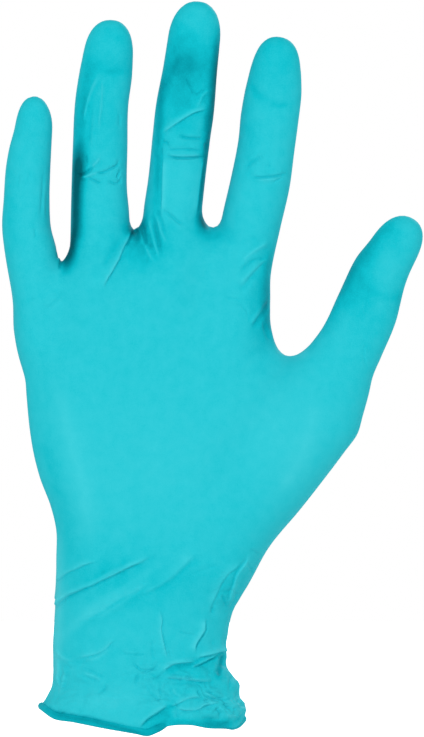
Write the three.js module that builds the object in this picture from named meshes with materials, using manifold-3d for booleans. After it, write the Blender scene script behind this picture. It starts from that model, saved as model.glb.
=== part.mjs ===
// A disposable examination glove for the right side, in the open form that it takes when worn.
// It is one dipped film: palm, five stalls, wrist and cuff, with the rolled bead of its hem.
// The palm faces -Y, the fingers point up +Z and the thumb leans towards +X, in millimetres.
// The origin is the middle of the wrist, inside the hollow.

import * as THREE from 'three';
import Module from 'manifold-3d';
import { mergeVertices } from 'three/addons/utils/BufferGeometryUtils.js';

const wasm = await Module();
wasm.setup();

// Driving dimensions
const WALL = 1.2; // the film, drawn thicker than the real 0.1 mm
const BEAD_RADIUS = 1.7; // the rolled hem
const BEAD_SIDES = 8;
const BEAD_STEPS = 64;
const BEAD_PROUD = 0.5; // how far the roll's middle stands outside the film's middle
const STALL_BLEND = 6; // round of the webs between the fingers
const THUMB_BLEND = 12; // round of the wide web beside the thumb
const SQUARENESS = 2.25; // 2 is an ellipse, more is squarer
const FLOOR = -68; // the two faces of the film run down to here before the hem is cut
const SHAPE_TOLERANCE = 0.1; // how far flat stretches may be off when their cells are joined
const SEAM_TOLERANCE = 0.04; // shorter edges along the seam of film and bead are closed up

// Cell sizes of the nets that the two faces of the film are drawn on
const OUTER_CELL = { across: 4.4, deep: 4.4, cuff: 3.2, above: 5.2 };
const INNER_CELL = { across: 6.2, deep: 5.2, cuff: 5.6, above: 8 };
const CUFF_TOP = 6; // the folded cuff and wrist, with lower cells, end at this height

// Each section is a rounded outline between left and right, and front and back, at a place
// along its piece's own axis. Between sections the sizes follow a smooth curve.
const SECTION_COLUMNS = ['along', 'left', 'right', 'front', 'back'];

const BODY = {
  root: [0, 0],
  lean: 0,
  end: 112,
  cap: 15,
  sections: [
    [-90, -37, 30.4, -23.5, 22.5],
    [-50, -37, 30.4, -23.5, 22.5],
    [-46, -34.5, 29.9, -22.8, 21.8],
    [-41, -32, 28.9, -21.2, 20.6],
    [-38, -31.8, 27.2, -20.4, 20],
    [-35, -31.7, 25.1, -19.8, 19.6],
    [-28, -31.8, 25.2, -19, 18.9],
    [-20, -31.3, 26.1, -18.8, 18.5],
    [-10, -30.5, 28.2, -18.8, 18],
    [0, -30.4, 30.4, -19.2, 17.4],
    [10, -30, 35, -19.6, 16.8],
    [18, -31.7, 39, -19.4, 16.2],
    [27, -35.4, 43, -18.8, 15.6],
    [38, -38.4, 45.5, -17.6, 15],
    [54, -40.4, 45.5, -15.8, 14.4],
    [70, -41.4, 41, -14.4, 14.2],
    [80, -42.8, 38, -13.6, 14],
    [95, -44, 36, -12.6, 12.8],
    [115, -40, 36, -11, 11],
  ],
};

// How high the palm reaches across its width: it ends in the webs between the fingers.
const WEB_COLUMNS = ['across', 'height'];
const WEB_LINE = [
  [-48, 86],
  [-27.5, 99.5],
  [-6, 106.5],
  [20, 110.5],
  [42, 98],
];

const STALLS = {
  little: {
    root: [-39.3, 85.1],
    lean: 1.1,
    end: 66.8,
    cap: 9,
    sections: [
      [-22, -2.6, 7, -9, 9],
      [0, -5.6, 8, -10.6, 9.6],
      [16.5, -8.7, 8.2, -9.6, 8],
      [24, -9.6, 6.4, -8.9, 7.1],
      [33, -9.2, 5.8, -8.8, 6],
      [43, -8.7, 5.9, -9.2, 4.4],
      [50, -7.6, 6.1, -9.6, 2.8],
      [57, -5.9, 6.3, -10.8, 1.2],
      [66, -5.2, 5.7, -11.6, -0.4],
    ],
  },
  ring: {
    root: [-17, 85.1],
    lean: 2,
    end: 92,
    cap: 11,
    sections: [
      [-22, -8.5, 8.5, -11, 11],
      [0, -9.2, 9.2, -12, 11.4],
      [27.5, -9.9, 9.3, -10, 8.9],
      [37, -10, 8.2, -9.3, 7.8],
      [50, -10, 7.9, -9.3, 6.7],
      [64, -9.8, 7.7, -10.2, 4.8],
      [73.5, -8.8, 8.6, -10.6, 3],
      [81, -7.6, 8.7, -12.2, 1.4],
      [92, -6.9, 9.2, -13.4, -0.4],
    ],
  },
  middle: {
    root: [5.2, 85.1],
    lean: 5.4,
    end: 98.6,
    cap: 11,
    sections: [
      [-22, -8.5, 8.5, -11, 11],
      [0, -9.2, 9.2, -12.4, 12],
      [29, -10, 9, -10.3, 9.3],
      [39, -9.5, 9.1, -9.5, 8.4],
      [54, -9.4, 9.5, -9.4, 7.4],
      [64, -9.2, 9.9, -10.2, 5.8],
      [74, -8.2, 9.7, -11, 3.8],
      [84, -7.5, 9.7, -12.8, 2],
      [98, -6.9, 9.9, -14.4, -0.4],
    ],
  },
  index: {
    root: [28.2, 85.1],
    lean: 8.9,
    end: 87.4,
    cap: 11,
    sections: [
      [-22, -8, 8.2, -11, 11],
      [0, -8.6, 10, -12, 11.6],
      [13, -8.8, 9.9, -11, 10.4],
      [26, -8.8, 10.7, -10.1, 9.1],
      [39, -7.9, 11.6, -9.6, 8.4],
      [52, -7.4, 11.3, -9.4, 7.2],
      [61, -7.9, 11.1, -10, 5.6],
      [70, -7.6, 10.7, -10.8, 3.6],
      [79, -6.9, 9.2, -12.4, 2],
      [88, -7.2, 9, -13.8, -0.2],
    ],
  },
};

const THUMB = {
  root: [24.6, -1.6],
  lean: 27.5,
  end: 128.8,
  cap: 12,
  sections: [
    [-14, -16, 3, -15, 9],
    [0, -17, 7.8, -18, 11.6],
    [13, -19, 9.2, -20, 11.4],
    [26, -19, 12.3, -21, 10.4],
    [38, -18, 14.6, -20.8, 9],
    [51, -15.4, 17.1, -19.6, 7.4],
    [58, -13.2, 18.3, -18.8, 6.6],
    [64, -11, 17.2, -18, 5.6],
    [71, -9.4, 15.8, -17, 4.6],
    [77, -8.2, 14.3, -16.4, 3.6],
    [84, -7.4, 13.8, -16.2, 2.4],
    [96, -8, 12.8, -16.6, 0.4],
    [109, -8.4, 9.8, -17.6, -2],
    [117, -6.9, 9.2, -18.6, -3.6],
    [129, -6, 9.6, -19.4, -5],
  ],
};

// The edge of the cuff, as the height of the bead's middle across its width.
const HEM_COLUMNS = ['across', 'height'];
const HEM_LINE = [
  [-38, -46],
  [-35, -47.6],
  [-31.4, -50],
  [-25.3, -51],
  [-14.9, -53],
  [-3.9, -54.9],
  [-0.8, -55.5],
  [2.8, -54.2],
  [6.5, -53.2],
  [13.8, -53],
  [19, -53.9],
  [25.2, -53.6],
  [27.6, -53.4],
  [29.4, -52.4],
  [30.8, -50.6],
];

// The mounds and hollows of the filled-out palm and back, side 1 for the palm and -1 for the
// back, each with its middle, its reach across and up, and how high it stands.
const RELIEF_COLUMNS = ['side', 'x', 'z', 'across', 'up', 'height'];
const RELIEF = [
  [1, 38, 42, 20, 26, 2.6],
  [1, -26, 28, 12, 26, 2],
  [1, -2, 50, 17, 26, -2.6],
  [1, -34, 96, 8, 8, 1],
  [1, -18, 92, 9, 8, 1],
  [1, 6, 92, 9, 8, 1],
  [1, 28, 88, 9, 9, 1],
  [-1, -38, 80, 8, 8, 1.6],
  [-1, -17, 86, 8, 9, 2],
  [-1, 5, 88, 8, 9, 2.4],
  [-1, 28, 84, 9, 9, 2.2],
  [-1, 60, 42, 10, 12, 1.2],
  [-1, -24, -8, 9, 10, 2],
];

// Folds of the film on the palm's side, from the wrist down and then up the fingers. Each
// is a raised line of a height and half-width, through places across and up.
const FOLD_COLUMNS = ['name', 'height', 'width', 'path'];
const FOLDS = [
  ['upper wrist', 1.1, 2.4, [[-30, -5], [-24, -2.6], [-15, 0.6]]],
  ['main wrist', 1.6, 2.6, [[-30, -13.6], [-20, -8], [-6, -0.4], [7, 3.6]]],
  ['lower wrist', 1, 2.8, [[-23, -21], [-13, -15], [-1, -8], [10, -2.4]]],
  ['thumb side pleat', 1.4, 2.4, [[29, -1], [22.6, -9.4], [18.4, -19], [15, -28.6]]],
  ['cuff left', 1.1, 2.6, [[-30, -30], [-20, -31.6], [-9, -25.6]]],
  ['upright crease', 1.2, 2.2, [[3.6, -16.8], [4.6, -24.6], [6.6, -31.6]]],
  ['cuff right', 1.8, 2.4, [[3.4, -36.6], [8, -33.8], [14, -32], [24.6, -30]]],
  ['cuff right lower', 1.2, 2.2, [[3, -38.6], [6.4, -37.8], [12, -39], [19.6, -40]]],
  ['cuff slant', 1.3, 2.4, [[-6.6, -31.8], [0.2, -36.6], [3.2, -42], [4, -46.6]]],
  ['hem pleat left', 1.8, 2.4, [[4.2, -46.8], [-0.8, -51], [-4, -53.6]]],
  ['hem pleat right', 1.6, 2.4, [[4.4, -46.8], [13, -44.8], [24, -46.6]]],
  ['ring joint', 0.8, 2.2, [[-24, 125.6], [-15, 127.4], [-9.6, 130.6]]],
  ['middle joint', 0.9, 2.2, [[4.8, 131.8], [11, 131.6], [19, 132.6]]],
  ['middle slant', 0.8, 2.2, [[3.6, 139.8], [11, 144.2], [17.6, 147.8]]],
  ['index joint', 0.7, 2.2, [[37.4, 125.2], [40.4, 125.6], [43.4, 126.6]]],
  ['web pleat', 1.3, 2.4, [[-5.4, 108.4], [-7.8, 102.6], [-10.6, 96.4], [-14.6, 89.6]]],
];

// Tables by the names of their columns

const named = (columns, row) => Object.fromEntries(columns.map((name, n) => [name, row[n]]));

// A smooth curve through a table, giving its other columns at any place along the first.
function curveOf(columns, rows) {
  const places = rows.map((row) => row[0]);
  const values = rows.flatMap((row) => row.slice(1));
  const curve = new THREE.CubicInterpolant(places, values, columns.length - 1);
  return (place) => named(columns.slice(1), curve.evaluate(place));
}

const webAt = curveOf(WEB_COLUMNS, WEB_LINE);
const hemAt = curveOf(HEM_COLUMNS, HEM_LINE);

// The worn form, without its folds

// Gives a function of a point that is its distance from a lofted piece, negative inside.
// The piece's round end is a cap of the given length that closes at its end or at topAt.
function loftedPiece({ root, lean, end, cap, sections }, topAt = () => end) {
  const sizeAt = curveOf(SECTION_COLUMNS, sections);
  const start = sections[0][0];
  const tilt = THREE.MathUtils.degToRad(lean);
  const [sin, cos] = [Math.sin(tilt), Math.cos(tilt)];
  const power = SQUARENESS;
  return (x, y, z) => {
    const along = (x - root[0]) * sin + (z - root[1]) * cos;
    const across = (x - root[0]) * cos - (z - root[1]) * sin;
    const { left, right, front, back } = sizeAt(along);
    const halfWidth = (right - left) / 2;
    const halfDepth = (back - front) / 2;
    const beyond = Math.max(along - (topAt(x) - cap), start + cap - along, 0);
    const u = Math.abs(across - (left + right) / 2) / halfWidth;
    const v = Math.abs(y - (front + back) / 2) / halfDepth;
    const w = beyond / cap;
    const k = Math.pow(u ** power + v ** power + w ** power, 1 / power) || 1e-6;
    const slope = Math.hypot(
      u ** (power - 1) / halfWidth,
      v ** (power - 1) / halfDepth,
      w ** (power - 1) / cap,
    );
    return (k - 1) / (slope * k ** (1 - power));
  };
}

// The union of two pieces with a round of the given size along their meeting line.
function blend(a, b, round) {
  const near = Math.max(round - Math.abs(a - b), 0) / round;
  return Math.min(a, b) - (near * near * round) / 4;
}

const body = loftedPiece(BODY, (x) => webAt(x).height);
const stalls = Object.values(STALLS).map((stall) => loftedPiece(stall));
const thumb = loftedPiece(THUMB);
const mounds = RELIEF.map((row) => named(RELIEF_COLUMNS, row));

// How far a mound or fold of one side counts at a depth: fully on its own side only.
const facing = (side, y) => THREE.MathUtils.smoothstep(-y * side, -2, 6);

function wornForm(x, y, z) {
  const fingers = Math.min(...stalls.map((stall) => stall(x, y, z)));
  const palm = blend(body(x, y, z), thumb(x, y, z), THUMB_BLEND);
  let distance = blend(palm, fingers, STALL_BLEND);
  for (const mound of mounds) {
    const away = Math.hypot((x - mound.x) / mound.across, (z - mound.z) / mound.up);
    if (away < 2.5) distance -= mound.height * Math.exp(-away * away) * facing(mound.side, y);
  }
  return distance;
}

// Folds

const foldCurves = FOLDS.map((row) => {
  const { height, width, path } = named(FOLD_COLUMNS, row);
  const curve = new THREE.CatmullRomCurve3(path.map(([x, z]) => new THREE.Vector3(x, 0, z)));
  return { points: curve.getSpacedPoints(12), height, width };
});

// How far the folds raise the film at a point, fading out at both ends of each.
function raised(x, y, z) {
  const turned = facing(1, y);
  if (turned === 0) return 0;
  let most = 0;
  for (const { points, height, width } of foldCurves) {
    const last = points.length - 1;
    points.forEach((point, n) => {
      const away = Math.hypot(x - point.x, z - point.z) / width;
      if (away > 2) return;
      const fade = Math.min(1, (0.5 + Math.min(n, last - n)) / 3);
      most = Math.max(most, height * fade * Math.exp(-away * away));
    });
  }
  return most * turned;
}

const outerFace = (x, y, z) => wornForm(x, y, z) - raised(x, y, z);
const innerFace = (x, y, z) => wornForm(x, y, z) + WALL;

// From a distance function to a mesh

// Grid lines from low to high, closer together below the height of the wrist.
function gridLines(low, high, step) {
  const count = Math.ceil((high - low) / step);
  return Array.from({ length: count + 1 }, (_, i) => low + ((high - low) * i) / count);
}

// The two corners of each of a cell's twelve edges
const CORNERS = [0, 1, 2, 3, 4, 5, 6, 7].map((n) => [n & 1, (n >> 1) & 1, n >> 2]);
const CELL_EDGES = CORNERS.flatMap((from) =>
  [0, 1, 2].filter((axis) => from[axis] === 0).map((axis) => [from, from.with(axis, 1)]),
);

function surfaceNet(distance, cell, low) {
  const lines = [
    gridLines(-60, 96, cell.across),
    gridLines(-34, 32, cell.deep),
    [...gridLines(low, CUFF_TOP, cell.cuff), ...gridLines(CUFF_TOP, 192, cell.above).slice(1)],
  ];
  const [nx, ny, nz] = lines.map((line) => line.length);
  const node = (i, j, k) => i + nx * (j + ny * k);
  const value = new Float64Array(nx * ny * nz);
  for (let k = 0; k < nz; k++)
    for (let j = 0; j < ny; j++)
      for (let i = 0; i < nx; i++)
        value[node(i, j, k)] = distance(lines[0][i], lines[1][j], lines[2][k]);

  // One vertex in each cell that the surface crosses, amid its crossings of the cell's edges
  const vertexOf = new Map();
  const points = [];
  for (let k = 0; k < nz - 1; k++)
    for (let j = 0; j < ny - 1; j++)
      for (let i = 0; i < nx - 1; i++) {
        const middle = new THREE.Vector3();
        let crossings = 0;
        for (const [from, to] of CELL_EDGES) {
          const a = value[node(i + from[0], j + from[1], k + from[2])];
          const b = value[node(i + to[0], j + to[1], k + to[2])];
          if (a < 0 === b < 0) continue;
          const t = a / (a - b);
          middle.x += lines[0][i + from[0]] * (1 - t) + lines[0][i + to[0]] * t;
          middle.y += lines[1][j + from[1]] * (1 - t) + lines[1][j + to[1]] * t;
          middle.z += lines[2][k + from[2]] * (1 - t) + lines[2][k + to[2]] * t;
          crossings++;
        }
        if (!crossings) continue;
        vertexOf.set(node(i, j, k), points.length);
        points.push(middle.divideScalar(crossings));
      }

  // One four-sided face round each grid edge that the surface crosses
  const faces = [];
  const strides = [1, nx, nx * ny];
  for (let k = 1; k < nz - 1; k++)
    for (let j = 1; j < ny - 1; j++)
      for (let i = 1; i < nx - 1; i++)
        for (let axis = 0; axis < 3; axis++) {
          const here = node(i, j, k);
          const inside = value[here] < 0;
          if (inside === value[here + strides[axis]] < 0) continue;
          const u = strides[(axis + 1) % 3];
          const v = strides[(axis + 2) % 3];
          const round = [here - u - v, here - v, here, here - u].map((n) => vertexOf.get(n));
          faces.push(inside ? round : round.reverse());
        }
  return { points, faces };
}

// Moves the vertices evenly along the surface, and back onto it after each round.
function relax({ points, faces }, distance, rounds) {
  const neighbours = points.map(() => new Set());
  for (const face of faces)
    face.forEach((p, n) => {
      neighbours[p].add(face[(n + 1) % 4]);
      neighbours[p].add(face[(n + 3) % 4]);
    });
  const step = 0.05;
  const settle = (p) => {
    for (let turn = 0; turn < 3; turn++) {
      const off = distance(p.x, p.y, p.z);
      const slope = new THREE.Vector3(
        distance(p.x + step, p.y, p.z) - off,
        distance(p.x, p.y + step, p.z) - off,
        distance(p.x, p.y, p.z + step) - off,
      ).divideScalar(step);
      p.addScaledVector(slope, -off / Math.max(slope.lengthSq(), 0.25));
    }
  };
  points.forEach(settle);
  for (let round = 0; round < rounds; round++) {
    const moved = points.map((p, n) => {
      const mean = new THREE.Vector3();
      for (const other of neighbours[n]) mean.add(points[other]);
      return mean.divideScalar(neighbours[n].size).lerp(p, 0.5);
    });
    points.forEach((p, n) => p.copy(moved[n]));
    points.forEach(settle);
  }
}

// Solids

function netSolid(distance, cell, floor) {
  const closed = (x, y, z) => Math.max(distance(x, y, z), floor - z);
  const net = surfaceNet(closed, cell, floor - 2 * cell.cuff);
  relax(net, closed, 4);
  const vertProperties = new Float32Array(net.points.flatMap((p) => p.toArray()));
  const triVerts = new Uint32Array(
    net.faces.flatMap(([a, b, c, d]) => {
      const [pa, pb, pc, pd] = [a, b, c, d].map((n) => net.points[n]);
      return pa.distanceTo(pc) < pb.distanceTo(pd) ? [a, b, c, a, c, d] : [a, b, d, b, c, d];
    }),
  );
  return new wasm.Manifold(new wasm.Mesh({ numProp: 3, vertProperties, triVerts }));
}

function solidOf(geometry) {
  const bare = geometry.clone();
  bare.deleteAttribute('normal');
  bare.deleteAttribute('uv');
  const merged = mergeVertices(bare, 1e-3);
  const vertProperties = merged.attributes.position.array;
  const triVerts = new Uint32Array(merged.index.array);
  return new wasm.Manifold(new wasm.Mesh({ numProp: 3, vertProperties, triVerts }));
}

function geometryOf(solid) {
  const { vertProperties, triVerts } = solid.getMesh();
  const geometry = new THREE.BufferGeometry();
  geometry.setAttribute('position', new THREE.BufferAttribute(vertProperties, 3));
  geometry.setIndex(new THREE.BufferAttribute(triVerts, 1));
  geometry.computeVertexNormals();
  return geometry;
}

// The film is the space between its outer and inner faces, cut off along the hem.
function trimmedFilm() {
  const [near, far, low] = [-60, 60, FLOOR - 40];
  const outline = new THREE.Shape();
  outline.moveTo(near, low);
  for (let x = near; x <= far; x += 1.5) outline.lineTo(x, hemAt(x).height);
  outline.lineTo(far, low);
  outline.closePath();
  const below = new THREE.ExtrudeGeometry(outline, { depth: far - near, bevelEnabled: false });
  below.translate(0, 0, near).rotateX(Math.PI / 2);
  const outer = netSolid(outerFace, OUTER_CELL, FLOOR);
  const inner = netSolid(innerFace, INNER_CELL, FLOOR - 10);
  return outer.subtract(inner).subtract(solidOf(below)).simplify(SHAPE_TOLERANCE);
}

// The bead follows the film's middle all round the hem.
function hemPoint(turn) {
  const [cos, sin] = [Math.cos(turn), Math.sin(turn)];
  let [near, far] = [10, 60];
  for (let n = 0; n < 24; n++) {
    const reach = (near + far) / 2;
    const x = reach * cos;
    const inside = wornForm(x, reach * sin, hemAt(x).height) < 0;
    [near, far] = inside ? [reach, far] : [near, reach];
  }
  const reach = near - WALL / 2 + BEAD_PROUD;
  const x = reach * cos;
  return new THREE.Vector3(x, reach * sin, hemAt(x).height);
}

function bead() {
  const turns = Array.from({ length: 48 }, (_, n) => (n / 48) * 2 * Math.PI);
  const path = new THREE.CatmullRomCurve3(turns.map(hemPoint), true);
  const round = new THREE.Shape();
  round.absarc(0, 0, BEAD_RADIUS, 0, 2 * Math.PI, false);
  const roll = new THREE.ExtrudeGeometry(round, {
    steps: BEAD_STEPS,
    curveSegments: BEAD_SIDES,
    extrudePath: path,
  });
  return solidOf(roll);
}

const film = new THREE.MeshStandardMaterial({ color: 0x2acad6, roughness: 0.5, metalness: 0 });
const solid = trimmedFilm().add(bead()).simplify(SEAM_TOLERANCE);
const glove = new THREE.Mesh(geometryOf(solid), film);
glove.name = 'glove';

const group = new THREE.Group();
group.add(glove);

export default group;
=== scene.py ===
from math import cos, pi, radians, sin

import bmesh
import bpy
import numpy as np
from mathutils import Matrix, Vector, noise


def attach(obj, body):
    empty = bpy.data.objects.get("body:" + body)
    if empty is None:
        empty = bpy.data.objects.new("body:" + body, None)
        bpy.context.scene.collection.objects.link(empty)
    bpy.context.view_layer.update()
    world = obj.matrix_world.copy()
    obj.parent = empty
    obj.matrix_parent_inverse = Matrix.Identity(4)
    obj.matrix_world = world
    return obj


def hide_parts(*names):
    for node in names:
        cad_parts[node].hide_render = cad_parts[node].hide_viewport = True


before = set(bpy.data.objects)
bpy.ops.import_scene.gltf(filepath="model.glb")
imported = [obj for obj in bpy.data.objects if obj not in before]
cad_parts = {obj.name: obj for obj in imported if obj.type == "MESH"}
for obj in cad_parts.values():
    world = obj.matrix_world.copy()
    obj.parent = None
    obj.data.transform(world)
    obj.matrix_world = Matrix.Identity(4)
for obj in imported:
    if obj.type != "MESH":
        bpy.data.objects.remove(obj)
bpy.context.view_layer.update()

# The film in its worn form
# The glove is one film of latex, dipped on a former, so it has no seams. It has the open form
# that it takes when worn. It is lofted through sections up the palm and along each stall, in
# millimetres, with the palm towards -Y, and the webs are the rounds between the lofts.

MM = 0.001
WALL = 1.2
SQUARENESS = 2.25
STALL_ROUND = 6
THUMB_ROUND = 12
FLOOR = -68

# A section's row is its place along the loft, then its left, right, front and back.
BODY = dict(
    root=(0, 0), lean=0, end=112, cap=15,
    sections=[
        (-90, -37, 30.4, -23.5, 22.5),
        (-50, -37, 30.4, -23.5, 22.5),
        (-46, -34.5, 29.9, -22.8, 21.8),
        (-41, -32, 28.9, -21.2, 20.6),
        (-38, -31.8, 27.2, -20.4, 20),
        (-35, -31.7, 25.1, -19.8, 19.6),
        (-28, -31.8, 25.2, -19, 18.9),
        (-20, -31.3, 26.1, -18.8, 18.5),
        (-10, -30.5, 28.2, -18.8, 18),
        (0, -30.4, 30.4, -19.2, 17.4),
        (10, -30, 35, -19.6, 16.8),
        (18, -31.7, 39, -19.4, 16.2),
        (27, -35.4, 43, -18.8, 15.6),
        (38, -38.4, 45.5, -17.6, 15),
        (54, -40.4, 45.5, -15.8, 14.4),
        (70, -41.4, 41, -14.4, 14.2),
        (80, -42.8, 38, -13.6, 14),
        (95, -44, 36, -12.6, 12.8),
        (115, -40, 36, -11, 11),
    ],
)
LITTLE = dict(
    root=(-39.3, 85.1), lean=1.1, end=66.6, cap=10,
    sections=[
        (-22, -2.6, 7, -9, 9),
        (0, -5.6, 8, -10.6, 9.6),
        (16.5, -8.7, 8.2, -9.6, 8),
        (24, -9.6, 6.4, -8.9, 7.1),
        (33, -9.2, 5.8, -8.8, 6),
        (43, -8.7, 5.9, -9.2, 4.4),
        (50, -7.6, 6.1, -9.6, 2.8),
        (57, -5.9, 6.3, -10.8, 1.2),
        (66, -5.2, 5.7, -11.6, -0.4),
    ],
)
RING = dict(
    root=(-17, 85.1), lean=2, end=91.7, cap=12.5,
    sections=[
        (-22, -8.5, 8.5, -11, 11),
        (0, -9.2, 9.2, -12, 11.4),
        (27.5, -9.9, 9.3, -10, 8.9),
        (37, -10, 8.2, -9.3, 7.8),
        (50, -10, 7.9, -9.3, 6.7),
        (64, -9.8, 7.7, -10.2, 4.8),
        (73.5, -8.8, 8.6, -10.6, 3),
        (81, -7.6, 8.7, -12.2, 1.4),
        (92, -6.9, 9.2, -13.4, -0.4),
    ],
)
MIDDLE = dict(
    root=(5.2, 85.1), lean=5.4, end=98.2, cap=13,
    sections=[
        (-22, -8.5, 8.5, -11, 11),
        (0, -9.2, 9.2, -12.4, 12),
        (29, -10, 9, -10.3, 9.3),
        (39, -9.5, 9.1, -9.5, 8.4),
        (54, -9.4, 9.5, -9.4, 7.4),
        (64, -9.2, 9.9, -10.2, 5.8),
        (74, -8.2, 9.7, -11, 3.8),
        (84, -7.5, 9.7, -12.8, 2),
        (98, -6.9, 9.9, -14.4, -0.4),
    ],
)
INDEX = dict(
    root=(28.2, 85.1), lean=8.9, end=87.2, cap=12.5,
    sections=[
        (-22, -8, 8.2, -11, 11),
        (0, -8.6, 10, -12, 11.6),
        (13, -8.8, 9.9, -11, 10.4),
        (26, -8.8, 10.7, -10.1, 9.1),
        (39, -7.9, 11.6, -9.6, 8.4),
        (52, -7.4, 11.3, -9.4, 7.2),
        (61, -7.9, 11.1, -10, 5.6),
        (70, -7.6, 10.7, -10.8, 3.6),
        (79, -6.9, 9.2, -12.4, 2),
        (88, -7.2, 9, -13.8, -0.2),
    ],
)
THUMB = dict(
    root=(24.6, -1.6), lean=27.5, end=128.8, cap=12,
    sections=[
        (-14, -16, 3, -15, 9),
        (0, -17, 7.8, -18, 11.6),
        (13, -19, 9.2, -20, 11.4),
        (26, -19, 12.3, -21, 10.4),
        (38, -18, 14.6, -20.8, 9),
        (51, -15.4, 17.1, -19.6, 7.4),
        (58, -13.2, 18.3, -18.8, 6.6),
        (64, -11, 17.2, -18, 5.6),
        (71, -9.4, 15.8, -17, 4.6),
        (77, -8.2, 14.3, -16.4, 3.6),
        (84, -7.4, 13.8, -16.2, 2.4),
        (96, -8, 12.8, -16.6, 0.4),
        (109, -8.4, 9.8, -17.6, -2),
        (117, -6.9, 9.2, -18.6, -3.6),
        (129, -6, 9.6, -19.4, -5),
    ],
)

# The webs: how high the palm reaches at places across it.
WEB_LINE = [(-48, 86), (-27.5, 99.5), (-6, 106.5), (20, 110.5), (42, 98)]

PALM, BACK, AROUND = 1, -1, 0

# The mounds and hollows of the worn form: side, middle across and up, reach across and up, height.
RELIEF = [
    (PALM, 38, 42, 20, 26, 2.6),
    (PALM, -26, 28, 12, 26, 2),
    (PALM, -2, 50, 17, 26, -2.6),
    (PALM, -34, 96, 8, 8, 1),
    (PALM, -18, 92, 9, 8, 1),
    (PALM, 6, 92, 9, 8, 1),
    (PALM, 28, 88, 9, 9, 1),
    (BACK, -38, 80, 8, 8, 1.6),
    (BACK, -17, 86, 8, 9, 2),
    (BACK, 5, 88, 8, 9, 2.4),
    (BACK, 28, 84, 9, 9, 2.2),
    (BACK, 60, 42, 10, 12, 1.2),
    (BACK, -24, -8, 9, 10, 2),
]


def curve(rows):
    """A smooth curve through a table: gives its other columns at places along the first."""
    table = np.array(rows, dtype=float)
    places, values = table[:, 0], table[:, 1:]
    chords = np.diff(values, axis=0) / np.diff(places)[:, None]
    slopes = (np.vstack([chords[:1], chords]) + np.vstack([chords, chords[-1:]])) / 2

    def at(place):
        place = np.clip(place, places[0], places[-1])
        row = np.clip(np.searchsorted(places, place) - 1, 0, len(places) - 2)
        gap = (places[row + 1] - places[row])[..., None]
        t = (place - places[row])[..., None] / gap
        rise = values[row + 1] - values[row]
        start, stop = slopes[row] * gap, slopes[row + 1] * gap
        bend = 3 * rise - 2 * start - stop
        return values[row] + t * (start + t * (bend + t * (start + stop - 2 * rise)))

    return at


def loft(root, lean, end, cap, sections, top=None):
    """The distance of points from a lofted part, negative inside. Its end is a round cap."""
    size_at = curve(sections)
    start = sections[0][0]
    tilt = radians(lean)
    far, margin = 40.0, 20  # the distance given to all points beyond a margin past its ends
    power = SQUARENESS

    def distance(points):
        x, y, z = points[:, 0] - root[0], points[:, 1], points[:, 2] - root[1]
        along = x * sin(tilt) + z * cos(tilt)
        near = (along > start - margin) & (along < end + margin)
        result = np.full(len(points), far)
        along = along[near]
        across = (x * cos(tilt) - z * sin(tilt))[near]
        left, right, front, back = size_at(along).T
        half_width, half_depth = (right - left) / 2, (back - front) / 2
        height = end if top is None else top(points[near, 0])[:, 0]
        beyond = np.maximum(np.maximum(along - (height - cap), start + cap - along), 0)
        u = np.abs(across - (left + right) / 2) / half_width
        v = np.abs(y[near] - (front + back) / 2) / half_depth
        w = beyond / cap
        k = np.maximum((u**power + v**power + w**power) ** (1 / power), 1e-6)
        steep = power - 1
        slope = np.sqrt((u**steep / half_width) ** 2 + (v**steep / half_depth) ** 2 + (w**steep / cap) ** 2)
        result[near] = (k - 1) / np.maximum(slope * k ** (1 - power), 1e-6)
        return result

    return distance


def blend(a, b, size):
    """The union of two parts with a round along the line where they meet."""
    near = np.maximum(size - np.abs(a - b), 0) / size
    return np.minimum(a, b) - near**2 * size / 4


def ease(value, low, high):
    """From 0 at low to 1 at high, with soft ends."""
    t = np.clip((value - low) / (high - low), 0, 1)
    return t * t * (3 - 2 * t)


SIDE_FADE = (-2, 6)  # where a form of one side starts and is whole, in millimetres from the middle


def facing(side, points):
    """How far points are on the palm's or the back's side, from 0 to 1, and 1 for AROUND."""
    return ease(-points[:, 1] * side, *SIDE_FADE) if side else np.ones(len(points))


body = loft(**BODY, top=curve(WEB_LINE))
stalls = [loft(**stall) for stall in (LITTLE, RING, MIDDLE, INDEX)]
thumb = loft(**THUMB)


def worn_form(points):
    """The distance of points from the outside of the worn glove without its folds."""
    palm = blend(body(points), thumb(points), THUMB_ROUND)
    fingers = np.min([stall(points) for stall in stalls], axis=0)
    distance = blend(palm, fingers, STALL_ROUND)
    for side, x, z, across, up, height in RELIEF:
        away = ((points[:, 0] - x) / across) ** 2 + ((points[:, 2] - z) / up) ** 2
        distance -= height * np.exp(-away) * facing(side, points)
    return distance


NET_REACH = [(-52, 94), (-28, 28), (FLOOR - 14, 188)]


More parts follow.
